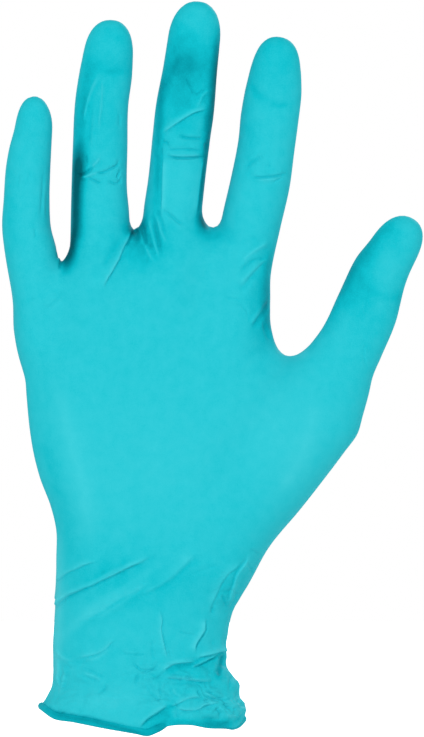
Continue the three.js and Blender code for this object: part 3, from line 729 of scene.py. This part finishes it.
# Broad rises and hollows of the film, in the same columns, with a height in millimetres.
PUFFS = [
    ("over the hem, left", PALM, (75, 703), (9, 2.6), 0.7),
    ("over the hem, middle", PALM, (118, 710), (7, 3), 0.6),
    ("left puff", PALM, (82, 676), (5, 2), 0.5),
    ("left puff, lower", PALM, (100, 694), (4, 3), 0.4),
    ("under the pleat", PALM, (166, 716), (2.5, 3), -0.6),
    ("over the pleat", PALM, (150, 706), (3, 3), 0.9),
    ("beside the pleat", PALM, (176, 696), (3, 1.6), 0.6),
    ("right lobe", PALM, (212, 710), (3, 2), 0.8),
    ("right puff", PALM, (190, 716), (4, 2), 1.2),
    ("right puff, end", PALM, (232, 708), (3.5, 3), 1.2),
    ("right corner", AROUND, (246, 708), (3, 3), 1.2),
    ("right edge", AROUND, (228, 657), (2, 1.6), 0.5),
    ("right edge, upper", AROUND, (228, 645), (2, 1.8), -0.4),
    ("right edge, lower", AROUND, (238, 684), (2, 1.6), 0.6),
    ("right edge, hollow", AROUND, (240, 697), (2, 1.8), -0.5),
    ("right dip", PALM, (212, 720), (2.5, 2), -0.7),
    ("middle of the cuff", PALM, (196, 672), (5, 1.8), 0.8),
    ("below the cross fold", PALM, (190, 687), (5, 1.8), 0.5),
    ("star", PALM, (161, 677), (1.6, 1.6), -0.7),
]


DEEPEST = -0.9  # so that no hollow reaches through the wall


def film_lift(points):
    """How far the film stands out of the plain form."""
    raised, pressed_in, _ = fold_shape(points)
    lift = raised - pressed_in + crumple(points) + patches(points, PUFFS)
    return np.maximum(lift, DEEPEST * np.tanh(lift / DEEPEST))


def refine(mesh, wanted):
    """Splits each wanted face into four."""
    bm = bmesh.new()
    bm.from_mesh(mesh)
    bm.faces.ensure_lookup_table()
    edges = {edge for n in np.flatnonzero(wanted) for edge in bm.faces[n].edges}
    bmesh.ops.subdivide_edges(bm, edges=list(edges), cuts=1, use_grid_fill=True)
    bm.to_mesh(mesh)
    bm.free()


# Each round splits the faces that are nearer to a fold, or on slacker film, than its row says.
ROUNDS = [(0.15, 0.36), (0.4, 0.85), (0.82, 3)]

for nearness, looseness in ROUNDS:
    centres = rows_of(film.polygons, "center")
    refine(film, (fold_shape(centres)[2] > nearness) | (patches(centres, SLACK) > looseness))

base = settle(outside, points_of(film))
outward = slope_of(outside, base)
outward /= np.maximum(np.linalg.norm(outward, axis=1), 1e-6)[:, None]
above_floor = ease(base[:, 2], FLOOR + 1, FLOOR + 6)
put_points(film, base + outward * (film_lift(base) * above_floor)[:, None])

# The rolled hem
# The film ends in a bead, where its edge was rolled up on the former so that the cuff doesn't
# tear. The bead follows the edge all round and is a little uneven.

ROLL_RADIUS = 1.25
ROLL_PROUD = 0.3
ROLL_TUCKED = 2.2  # on the thumb's side of the front the roll is turned in, and raised
ROLL_RAISED = 1.6
TUCK_STARTS = (2, 8)  # across: where it starts to turn in, and where it is turned in fully
ROLL_STEPS = 260
ROLL_SIDES = 14
EDGE_WITHIN = (10.0, 60.0)  # the edge lies between these distances from the middle
HALVINGS = 26

# How high the edge is at places across it, in front and at the back.
FRONT_HEM = [
    (-38, -46.4), (-35, -48), (-31.4, -50.4), (-25.3, -51.4), (-14.9, -53.4), (-3.9, -55.3), (-0.8, -55.9),
    (2.8, -54.6), (6.5, -53.6), (13.8, -53.4), (19, -54.3), (25.2, -54.4), (27.6, -54.6), (29.4, -53.6),
    (30.8, -51.4), (32.2, -48),
]


def hem_height(points):
    return curve(FRONT_HEM)(points[:, 0])[:, 0]


def hem_route():
    """The middle of the roll, from the film's own edge."""
    turns = np.arange(ROLL_STEPS) / ROLL_STEPS * 2 * pi
    rays = np.column_stack([np.cos(turns), np.sin(turns), 0 * turns])
    near, far = (np.full(ROLL_STEPS, distance) for distance in EDGE_WITHIN)
    for _ in range(HALVINGS):
        reach = (near + far) / 2
        points = rays * reach[:, None]
        points[:, 2] = hem_height(points)
        inside = worn_form(points) < 0
        near, far = np.where(inside, reach, near), np.where(inside, far, reach)
    across = slope_of(worn_form, points)
    across /= np.linalg.norm(across, axis=1)[:, None]
    tucked = ease(points[:, 0], *TUCK_STARTS) * facing(PALM, points)
    shift = film_lift(points) - WALL / 2 + ROLL_PROUD - ROLL_TUCKED * tucked
    raised = np.column_stack([0 * tucked, 0 * tucked, ROLL_RAISED * tucked])
    return points + across * shift[:, None] + raised


def piece(name, data):
    obj = bpy.data.objects.new(name, data)
    bpy.context.scene.collection.objects.link(obj)
    return obj


def link_up(tree, *pairs):
    for output, socket in pairs:
        tree.links.new(output, socket)


def rolled_hem_tree():
    """Sweeps a round roll of uneven thickness along a closed line."""
    tree = bpy.data.node_groups.new("rolled hem", "GeometryNodeTree")
    face = tree.interface
    face.new_socket("Line", in_out="INPUT", socket_type="NodeSocketGeometry")
    for name, kind in (
        ("Radius", "NodeSocketFloat"),
        ("Sides", "NodeSocketInt"),
        ("Unevenness", "NodeSocketFloat"),
        ("Lump Scale", "NodeSocketFloat"),
        ("Latex", "NodeSocketMaterial"),
    ):
        face.new_socket(name, in_out="INPUT", socket_type=kind)
    face.new_socket("Roll", in_out="OUTPUT", socket_type="NodeSocketGeometry")
    new = tree.nodes.new
    given, result = new("NodeGroupInput"), new("NodeGroupOutput")
    line = new("GeometryNodeMeshToCurve")
    lumps = new("ShaderNodeTexNoise")
    lumps.inputs["Detail"].default_value = 1.0
    spread = new("ShaderNodeMapRange")
    spread.inputs["From Min"].default_value = 0.3
    spread.inputs["From Max"].default_value = 0.7
    low, high = new("ShaderNodeMath"), new("ShaderNodeMath")
    low.operation, high.operation = "SUBTRACT", "ADD"
    low.inputs[0].default_value = high.inputs[0].default_value = 1.0
    thick = new("GeometryNodeSetCurveRadius")
    ring = new("GeometryNodeCurvePrimitiveCircle")
    sweep = new("GeometryNodeCurveToMesh")
    smooth = new("GeometryNodeSetShadeSmooth")
    real = new("GeometryNodeRealizeInstances")
    coat = new("GeometryNodeSetMaterial")
    link_up(
        tree,
        (given.outputs["Line"], line.inputs["Mesh"]),
        (given.outputs["Lump Scale"], lumps.inputs["Scale"]),
        (given.outputs["Unevenness"], low.inputs[1]),
        (given.outputs["Unevenness"], high.inputs[1]),
        (lumps.outputs["Fac"], spread.inputs["Value"]),
        (low.outputs[0], spread.inputs["To Min"]),
        (high.outputs[0], spread.inputs["To Max"]),
        (line.outputs["Curve"], thick.inputs["Curve"]),
        (spread.outputs["Result"], thick.inputs["Radius"]),
        (given.outputs["Sides"], ring.inputs["Resolution"]),
        (given.outputs["Radius"], ring.inputs["Radius"]),
        (thick.outputs["Curve"], sweep.inputs["Curve"]),
        (ring.outputs["Curve"], sweep.inputs["Profile Curve"]),
        (sweep.outputs["Mesh"], smooth.inputs["Geometry"]),
        (smooth.outputs["Geometry"], real.inputs["Geometry"]),
        (real.outputs["Geometry"], coat.inputs["Geometry"]),
        (given.outputs["Latex"], coat.inputs["Material"]),
        (coat.outputs["Geometry"], result.inputs["Roll"]),
    )
    return tree


def applied(obj, modifier):
    """The mesh that an object has with a modifier, which is then taken off."""
    depsgraph = bpy.context.evaluated_depsgraph_get()
    mesh = bpy.data.meshes.new_from_object(obj.evaluated_get(depsgraph))
    obj.modifiers.remove(modifier)
    return mesh


def grown(obj, tree, **values):
    """The mesh that a geometry tree makes of an object, with the tree's inputs set by name."""
    modifier = obj.modifiers.new("grown", "NODES")
    modifier.node_group = tree
    for socket in tree.interface.items_tree:
        if socket.in_out == "INPUT" and socket.name in values:
            modifier[socket.identifier] = values[socket.name]
    return applied(obj, modifier)


def latex_texture():
    """Fine grain and faint clouding of dipped latex, as a colour factor and a bump height."""
    group = bpy.data.node_groups.new("latex texture", "ShaderNodeTree")
    face = group.interface
    for name in ("Cloud Size", "Grain Size"):
        face.new_socket(name, in_out="INPUT", socket_type="NodeSocketFloat")
    for name in ("Cloud", "Grain"):
        face.new_socket(name, in_out="OUTPUT", socket_type="NodeSocketFloat")
    new = group.nodes.new
    given, result = new("NodeGroupInput"), new("NodeGroupOutput")
    place = new("ShaderNodeTexCoord")
    cloud, grain = new("ShaderNodeTexNoise"), new("ShaderNodeTexNoise")
    cloud.inputs["Detail"].default_value = 3.0
    grain.inputs["Detail"].default_value = 2.0
    link_up(
        group,
        (place.outputs["Object"], cloud.inputs["Vector"]),
        (place.outputs["Object"], grain.inputs["Vector"]),
        (given.outputs["Cloud Size"], cloud.inputs["Scale"]),
        (given.outputs["Grain Size"], grain.inputs["Scale"]),
        (cloud.outputs["Fac"], result.inputs["Cloud"]),
        (grain.outputs["Fac"], result.inputs["Grain"]),
    )
    return group


texture_group = latex_texture()


CLOUDED, GRAINED = 0.55, 0.6  # how far the clouding and the grain shift the tone
# The tone runs from the deepest painted shade, through doubled film and painted shade, to pressed film and
# painted sheen and highlights.
PAINTED_SHADE_TONE, PRESSED_OR_SHEEN_TONE = -2, 1
DOUBLED_OR_SHADED_AT, LOOSE_AT, PLAIN_AT = 1 / 3, 0.53, 2 / 3  # places of the other colours between the two


def latex(name, painted_deepest_shade, doubled_or_shaded, loose, plain, pressed_or_sheen):
    """Nearly matte teal latex, deeper where it is loose or doubled and where shade is painted, and paler
    where it is pressed and where sheen is painted.
    """
    material = bpy.data.materials.new(name)
    material.use_nodes = True
    tree = material.node_tree
    new = tree.nodes.new
    shader = tree.nodes["Principled BSDF"]
    shader.inputs["Roughness"].default_value = 0.6
    shader.inputs["Specular IOR Level"].default_value = 0.03
    texture = new("ShaderNodeGroup")
    texture.node_tree = texture_group
    texture.inputs["Cloud Size"].default_value = 300.0
    texture.inputs["Grain Size"].default_value = 2600.0
    tone = new("ShaderNodeAttribute")
    tone.attribute_name = "tone"
    clouded, grained = new("ShaderNodeMath"), new("ShaderNodeMath")
    clouded.operation = grained.operation = "MULTIPLY_ADD"
    clouded.inputs[1].default_value = CLOUDED
    grained.inputs[1].default_value = GRAINED
    usual_shift = (CLOUDED + GRAINED) / 2
    shifted = new("ShaderNodeMapRange")
    shifted.inputs["From Min"].default_value = PAINTED_SHADE_TONE + usual_shift
    shifted.inputs["From Max"].default_value = PRESSED_OR_SHEEN_TONE + usual_shift
    ramp = new("ShaderNodeValToRGB")
    stops = ramp.color_ramp.elements
    stops[0].position, stops[0].color = 0.0, (*painted_deepest_shade, 1)
    stops[1].position, stops[1].color = 1.0, (*pressed_or_sheen, 1)
    stops.new(DOUBLED_OR_SHADED_AT).color = (*doubled_or_shaded, 1)
    stops.new(LOOSE_AT).color = (*loose, 1)
    stops.new(PLAIN_AT).color = (*plain, 1)
    bump = new("ShaderNodeBump")
    bump.inputs["Strength"].default_value = 0.08
    bump.inputs["Distance"].default_value = 0.0001
    link_up(
        tree,
        (texture.outputs["Cloud"], clouded.inputs[0]),
        (tone.outputs["Fac"], clouded.inputs[2]),
        (texture.outputs["Grain"], grained.inputs[0]),
        (clouded.outputs[0], grained.inputs[2]),
        (grained.outputs[0], shifted.inputs["Value"]),
        (shifted.outputs["Result"], ramp.inputs["Fac"]),
        (ramp.outputs["Color"], shader.inputs["Base Color"]),
        (texture.outputs["Grain"], bump.inputs["Height"]),
        (bump.outputs["Normal"], shader.inputs["Normal"]),
    )
    return material


# The deepest colour is painted shade, the doubled one serves doubled film and painted shade, and the palest
# serves pressed film and painted sheen.
film_latex = latex(
    "latex film",
    painted_deepest_shade=(0.0, 0.12, 0.15),
    doubled_or_shaded=(0.0, 0.32, 0.39),
    loose=(0.003, 0.49, 0.575),
    plain=(0.02, 0.535, 0.62),
    pressed_or_sheen=(0.06, 0.61, 0.69),
)
# The roll's latex is deeper than the film's: partly the thicker rolled film, and partly painted shade, as
# the roll lies under the film's overhang.
rolled_latex = latex(
    "rolled latex",
    painted_deepest_shade=(0.0, 0.12, 0.15),
    doubled_or_shaded=(0.0, 0.3, 0.37),
    loose=(0.0, 0.4, 0.48),
    plain=(0.004, 0.45, 0.53),
    pressed_or_sheen=(0.01, 0.54, 0.62),
)

route = hem_route()
loop = bpy.data.meshes.new("hem line")
loop.from_pydata((route * MM).tolist(), [(n, (n + 1) % ROLL_STEPS) for n in range(ROLL_STEPS)], [])
roll_maker = piece("hem_line", loop)
roll = grown(
    roll_maker,
    rolled_hem_tree(),
    Radius=ROLL_RADIUS * MM,
    Sides=ROLL_SIDES,
    Unevenness=0.12,
    **{"Lump Scale": 160.0},
    Latex=rolled_latex,
)
bpy.data.objects.remove(roll_maker)


def below_hem():
    """A block that holds all that is below the edge of the cuff."""
    half_width, half_depth, step, down = 56, 50.0, 0.7, 30
    xs, ys = np.arange(-half_width, half_width, step), np.array([-half_depth, half_depth])
    top = np.array([(x, y, 0) for x in xs for y in ys])
    top[:, 2] = hem_height(top)
    low = top * [1, 1, 0] + [0, 0, FLOOR - down]
    count, points = len(top), np.vstack([top, low])
    faces = []
    for n in range(0, count - 2, 2):
        faces += [(n, n + 2, n + 3, n + 1), (count + n, count + n + 1, count + n + 3, count + n + 2)]
        faces += [(n, count + n, count + n + 2, n + 2), (n + 1, n + 3, count + n + 3, count + n + 1)]
    last = count - 2
    faces += [(0, 1, count + 1, count), (last, count + last, count + last + 1, last + 1)]
    return mesh_of("below_hem", points.tolist(), faces)


def in_metres(mesh):
    put_points(mesh, points_of(mesh) * MM)
    return mesh


def combine(obj, other, operation):
    """Cuts another closed mesh out of an object, or joins it on."""
    tool = piece("tool", other)
    modifier = obj.modifiers.new("combine", "BOOLEAN")
    modifier.operation = operation
    modifier.solver = "MANIFOLD"
    modifier.object = tool
    mesh = applied(obj, modifier)
    bpy.data.objects.remove(tool)
    obj.data = mesh


inside = closed_below(lambda points: worn_form(points) + WALL, FLOOR - 8)
lining = form_mesh("inner_face", inside, step=3, rounds=3)

glove = piece("latex_glove", in_metres(film))
for mesh in (film, roll):
    mesh.materials.clear()
    mesh.materials.append(film_latex)
    mesh.materials.append(rolled_latex)
roll.polygons.foreach_set("material_index", [1] * len(roll.polygons))
combine(glove, in_metres(lining), "DIFFERENCE")
combine(glove, in_metres(below_hem()), "DIFFERENCE")
combine(glove, roll, "UNION")
glove.data.polygons.foreach_set("use_smooth", [True] * len(glove.data.polygons))
glove.data.set_sharp_from_angle(angle=radians(60))

# Patches of tone, paler where the film is pressed tight and deeper where it is slack and doubled, some of
# them painted shade, painted sheen or a painted highlight, as marked:
# side, middle across and down in pixels of the front view, reach in millimetres, and amount.
TONES = [
    ("palm middle", PALM, (170, 465), (26, 22), 0.15),
    # Paler over the mounds where the film is stretched, and partly a painted sheen.
    ("ball of the thumb", PALM, (285, 440), (14, 20), 0.25),
    ("heel of the palm", PALM, (85, 470), (10, 22), 0.1),
    ("ring finger, end", PALM, (112, 50), (8, 10), -0.4),
    ("ring finger, pad", PALM, (113, 52), (4, 4), 0.25),
    ("ring finger, middle", PALM, (103, 120), (6, 12), -0.25),
    ("middle finger, end", PALM, (190, 44), (9, 14), -0.55),
    ("middle finger, tip", PALM, (195, 20), (5, 4), 0.25),
    ("middle finger, pad", PALM, (197, 38), (4, 5), 0.2),
    ("middle finger, below the pad", PALM, (190, 66), (6, 3), -0.25),
    ("middle finger, middle", PALM, (182, 95), (8, 14), -0.55),
    ("middle finger, panel", PALM, (182, 190), (5, 10), 0.12),
    ("forefinger, end", PALM, (272, 55), (9, 10), -0.45),
    ("forefinger, pad", PALM, (274, 58), (4.5, 5), 0.2),
    ("forefinger, side", PALM, (250, 130), (2.5, 12), -0.2),
    ("little finger, end", PALM, (32, 115), (6, 8), -0.15),
    ("little finger, outer side", PALM, (10, 210), (2.5, 20), -0.2),
    ("thumb, end", PALM, (392, 232), (6, 5), -0.3),
    ("thumb, beside the pad", PALM, (370, 254), (5, 5), -0.25),
    # Painted shade on the thumb's inner half, turned towards the hand.
    ("thumb, inner half", PALM, (350, 284), (7, 12), -0.3),
    ("thumb, tip", PALM, (407, 233), (2.5, 5), 0.2),
    ("thumb, pad", PALM, (386, 270), (4, 7), 0.3),
    ("thumb, below the joint", PALM, (381, 307), (2.5, 2.5), 0.2),
    ("thumb, outer side", PALM, (398, 297), (2, 4), -0.3),
    ("thumb, root", PALM, (346, 327), (5, 6), 0.15),
    # Painted shade in the webs between the fingers, darkest in their corners.
    ("web", PALM, (148, 232), (6, 8), -0.45),
    ("web beside the forefinger", PALM, (212, 234), (6, 4), -0.5),
    ("corner of the web", PALM, (135, 230), (2.8, 2.6), -1.1),
    ("corner of the web by the forefinger", PALM, (203, 222), (2, 3), -0.9),
    ("corner of the web by the little finger", PALM, (64, 258), (1.6, 2.5), -0.9),
    # Painted shade under the cuff's pleat and lobes, and a painted highlight on the top of a lobe.
    ("cuff, under the pleat", PALM, (157, 727), (4, 2), -0.6),
    ("cuff, under the lobes", PALM, (222, 722), (6, 2), -0.4),
    ("cuff, top of the lobe", PALM, (236, 704), (3, 2.5), 0.3),
    # Painted shade on the forefinger's root, on the side turned from the light.
    ("root of the forefinger", PALM, (262, 305), (4, 16), -0.4),
    ("thumb", PALM, (366, 285), (16, 22), -0.2),
    ("wrist", PALM, (135, 578), (24, 9), -0.35),
    ("thumb side of the wrist", PALM, (236, 585), (7, 12), -0.1),
    ("below the ring finger", PALM, (138, 250), (12, 8), -0.4),
    ("cuff, pale part", PALM, (105, 700), (14, 5), 0.3),
    ("cuff, thumb side", PALM, (200, 672), (11, 6), -0.25),
    ("palm, heel to the wrist", PALM, (235, 480), (16, 16), -0.1),
]


# Bands of doubled film, painted shade, painted sheen and painted highlights along the sides and folds: side,
# amount, half-width in millimetres, path.
BANDS = [
    # Painted shade along the ring finger's side beside the little finger.
    ("ring finger, outer side, upper", PALM, -0.6, 2.4,
     [(92, 40), (88, 70), (84, 100), (81, 130), (79, 160), (78, 200)]),
    ("ring finger, outer side", PALM, -2.1, 2.2,
     [(81, 135), (80, 150), (78, 172), (76.5, 190), (76, 210), (75, 230), (71, 248), (68, 264), (62, 284)]),
    # Painted shade along the middle finger's sides, which face its neighbours.
    ("middle finger, inner side", PALM, -1.5, 1.8,
     [(221, 16), (219, 40), (217.5, 60), (216, 80), (214, 100), (211.5, 125), (208, 150), (204.5, 180),
      (201, 206), (201, 240)]),
    ("middle finger, outer side", PALM, -0.7, 1.5,
     [(166, 60), (163, 85), (160, 110), (159, 140), (158, 170), (157, 200), (152, 225)]),
    # Painted shade on the forefinger's root and along the edge of the web.
    ("root of the forefinger", PALM, -0.5, 1.8,
     [(272, 235), (268, 262), (267, 290), (266, 320), (274, 350)]),
    ("edge of the web", PALM, -0.6, 0.8, [(129, 236), (133, 232), (138, 228), (143, 222), (146, 216)]),
    ("thumb, below the pad", PALM, -0.16, 1.8,
     [(348, 258), (354, 270), (360, 281), (366, 288), (374, 294), (382, 297), (392, 299), (402, 299)]),
    # Painted shade along the thumb's inner side.
    ("thumb, inner side", PALM, -0.35, 2.4,
     [(402, 214), (388, 226), (374, 240), (362, 255), (350, 272), (340, 292), (328, 318), (312, 346)]),
    ("forefinger, below the pad", PALM, -0.25, 1.5,
     [(247, 74), (251, 84), (256, 94), (262, 99.5), (270, 103), (279, 106), (290, 105), (298, 101)]),
    ("ring finger, below the pad", PALM, -0.22, 1.4,
     [(94, 62), (100, 67), (107, 71), (116, 73), (126, 71), (134, 66)]),
    ("middle finger, below the pad", PALM, -0.2, 2,
     [(184, 46), (180, 56), (175, 66), (170, 76), (166, 86), (164, 96)]),
    # A painted sheen along the outer edges of the wrist and the palm.
    ("edge of the wrist", AROUND, 0.9, 1.8,
     [(60, 520), (58, 560), (58, 600), (57, 640), (56, 670), (56, 700)]),
    ("outer edge of the palm", PALM, 0.35, 3,
     [(58, 370), (62, 400), (68, 430), (76, 460), (84, 490), (90, 520), (94, 550)]),
    ("beside the outer edge", PALM, -0.25, 2.4,
     [(44, 420), (48, 450), (56, 480), (64, 510), (70, 545), (72, 580)]),
    # A painted sheen on the edge of the ball of the thumb and on the web by the thumb.
    ("ball of the thumb, pale edge", PALM, 0.3, 2.6,
     [(318, 392), (312, 420), (304, 448), (290, 476), (270, 500)]),
    ("web by the thumb", AROUND, 0.5, 1.6, [(272, 342), (280, 350), (290, 355), (302, 354), (312, 348)]),
    # Painted shade in the corner of the web by the forefinger.
    ("web by the forefinger", PALM, -0.9, 1, [(202, 212), (203, 218), (205, 225), (209, 230)]),
    # A painted highlight on the ridge of the wrist's fold, and painted shade beside the folds.
    ("ribbon of the wrist", PALM, 0.35, 1.5,
     [(52, 646), (66, 632), (82, 616), (100, 602), (125, 586), (150, 570), (180, 554)]),
    ("below the ribbon", PALM, -0.25, 1.2,
     [(70, 640), (84, 628), (100, 616), (118, 604), (140, 592), (165, 578), (200, 556)]),
    ("above the main fold", PALM, -0.3, 1.2,
     [(60, 598), (74, 590), (88, 582), (104, 573), (122, 564), (140, 554)]),
    # Painted shade under the cuff's top fold, on its side and beside the wrist's pleat.
    ("under the top fold of the cuff", PALM, -0.45, 1.2,
     [(160, 678), (167, 671), (176, 667), (190, 664), (205, 660), (217, 656), (230, 653)]),
    ("side of the cuff", PALM, -0.5, 1.2, [(222, 650), (221, 660), (219, 672), (216, 682)]),
    ("pleat of the wrist", PALM, -0.1, 1.5, [(242, 560), (236, 575), (226, 595), (218, 615)]),
    # Painted shade above the roll, under the overhanging film.
    ("hem groove", PALM, -0.9, 0.9,
     [(34, 704), (46, 709), (56, 713.5), (66, 715.5), (76, 717), (91, 719.5), (104, 722.5), (119, 726),
      (135, 730), (150, 733), (160, 734)]),
    ("end of the roll", AROUND, -0.5, 1.6, [(36, 704), (42, 700), (48, 698)]),
    # Painted shade under the hem's pleat and under the cuff.
    ("pleat of the hem", PALM, -0.6, 1.4,
     [(140, 726), (146, 719), (154, 715), (163, 710), (172, 704), (184, 700)]),
    ("hollow under the pleat", PALM, -0.45, 1.6, [(152, 728), (162, 722), (170, 714), (176, 710)]),
    ("under the cuff", PALM, -0.7, 1.6, [(160, 722), (180, 722), (205, 724), (222, 726), (236, 725)]),
]


# How far a millimetre of a crest or of a hollow changes the tone, and the most that counts: a painted
# highlight on the crests, and deeper colour in the hollows that is partly doubled film and partly painted
# shade.
CREST_HIGHLIGHT, CREST_MOST = 1.1, 0.7
HOLLOW_DOUBLING_AND_SHADE, HOLLOW_MOST = 0.4, 0.6


def tone_at(points):
    """How pale the film is at points, from about -2 in the deepest painted shade to 1 where it is pressed or
    given a painted sheen.
    """
    raised, pressed_in, close = fold_shape(points)
    # A painted highlight along the fold crests, and in their hollows deeper colour that is partly doubled
    # film and partly painted shade.
    tone = patches(points, TONES) + CREST_HIGHLIGHT * np.minimum(raised, CREST_MOST) * close
    tone -= HOLLOW_DOUBLING_AND_SHADE * np.minimum(pressed_in, HOLLOW_MOST)
    for _, side, amount, width, places in BANDS:
        near, offset, fade = near_route(points, side, places, 3 * width)
        tone[near] += amount * fade * np.exp(-(np.abs(offset) / width) ** 1.8)
    return tone


# The tone holds the film's own paler and deeper parts together with painted shade, painted sheen and painted
# highlights.
attribute = glove.data.attributes.new("tone", "FLOAT", "POINT")
attribute.data.foreach_set("value", tone_at(points_of(glove.data) / MM))

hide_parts("glove")
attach(glove, "root")

# The studio
# A pale floor, soft lights in front, at the thumb's side and behind, and white all round, with a
# long lens that looks straight at the palm and has the photograph's frame.

FRAME_MM = (138.8, 241.3)
FRAME_MIDDLE = (20.3, 62.7)
CAMERA_AWAY = 5.0
SENSOR = 36.0
FLOOR_HALF_WIDTH = 6
FLOOR_HEIGHT = -0.12
ROOM_LIGHT = 0.68  # what the white room gives the glove, while the camera sees it at 1

camera = piece("camera", bpy.data.cameras.new("camera"))
bpy.context.scene.camera = camera
camera.data.sensor_width = SENSOR
camera.data.lens = SENSOR * CAMERA_AWAY / (FRAME_MM[1] * MM)
camera.data.clip_end = 20
camera.location = (FRAME_MIDDLE[0] * MM, -CAMERA_AWAY, FRAME_MIDDLE[1] * MM)
camera.rotation_euler = (radians(90), 0, 0)

corners = [(x * FLOOR_HALF_WIDTH, y * FLOOR_HALF_WIDTH, 0) for x, y in ((-1, -1), (1, -1), (1, 1), (-1, 1))]
floor = piece("floor", mesh_of("floor", corners, [(0, 1, 2, 3)]))
floor.location.z = FLOOR_HEIGHT
paper = bpy.data.materials.new("pale paper")
paper.use_nodes = True
sweep = paper.node_tree.nodes["Principled BSDF"]
sweep.inputs["Base Color"].default_value = (0.9, 0.9, 0.9, 1)
sweep.inputs["Roughness"].default_value = 0.9
sweep.inputs["Emission Strength"].default_value = 1.0
looked_at = paper.node_tree.nodes.new("ShaderNodeLightPath")
paper.node_tree.links.new(looked_at.outputs["Is Camera Ray"], sweep.inputs["Emission Color"])
floor.data.materials.append(paper)


def soft_light(name, place, target, size, watts):
    light = bpy.data.lights.new(name, "AREA")
    light.shape = "DISK"
    light.size = size
    light.energy = watts
    obj = piece(name, light)
    obj.location = place
    obj.rotation_euler = (Vector(target) - Vector(place)).to_track_quat("-Z", "Y").to_euler()


soft_light("front light", (-0.42, -1.6, 0.68), (0.02, 0, 0.06), 0.5, 10.2)
soft_light("side light", (1.4, -0.9, 0.3), (0.02, 0, 0.06), 0.5, 2)
soft_light("back light", (0.7, 1.5, 0.9), (0.02, 0, 0.06), 0.5, 8)

world = bpy.data.worlds.new("white room")
bpy.context.scene.world = world
world.use_nodes = True
room = world.node_tree.nodes["Background"]
room.inputs["Color"].default_value = (1, 1, 1, 1)
seen = world.node_tree.nodes.new("ShaderNodeLightPath")
strength = world.node_tree.nodes.new("ShaderNodeMapRange")
strength.inputs["To Min"].default_value = ROOM_LIGHT
strength.inputs["To Max"].default_value = 1.0
link_up(
    world.node_tree,
    (seen.outputs["Is Camera Ray"], strength.inputs["Value"]),
    (strength.outputs["Result"], room.inputs["Strength"]),
)
bpy.context.scene.view_settings.view_transform = "Standard"
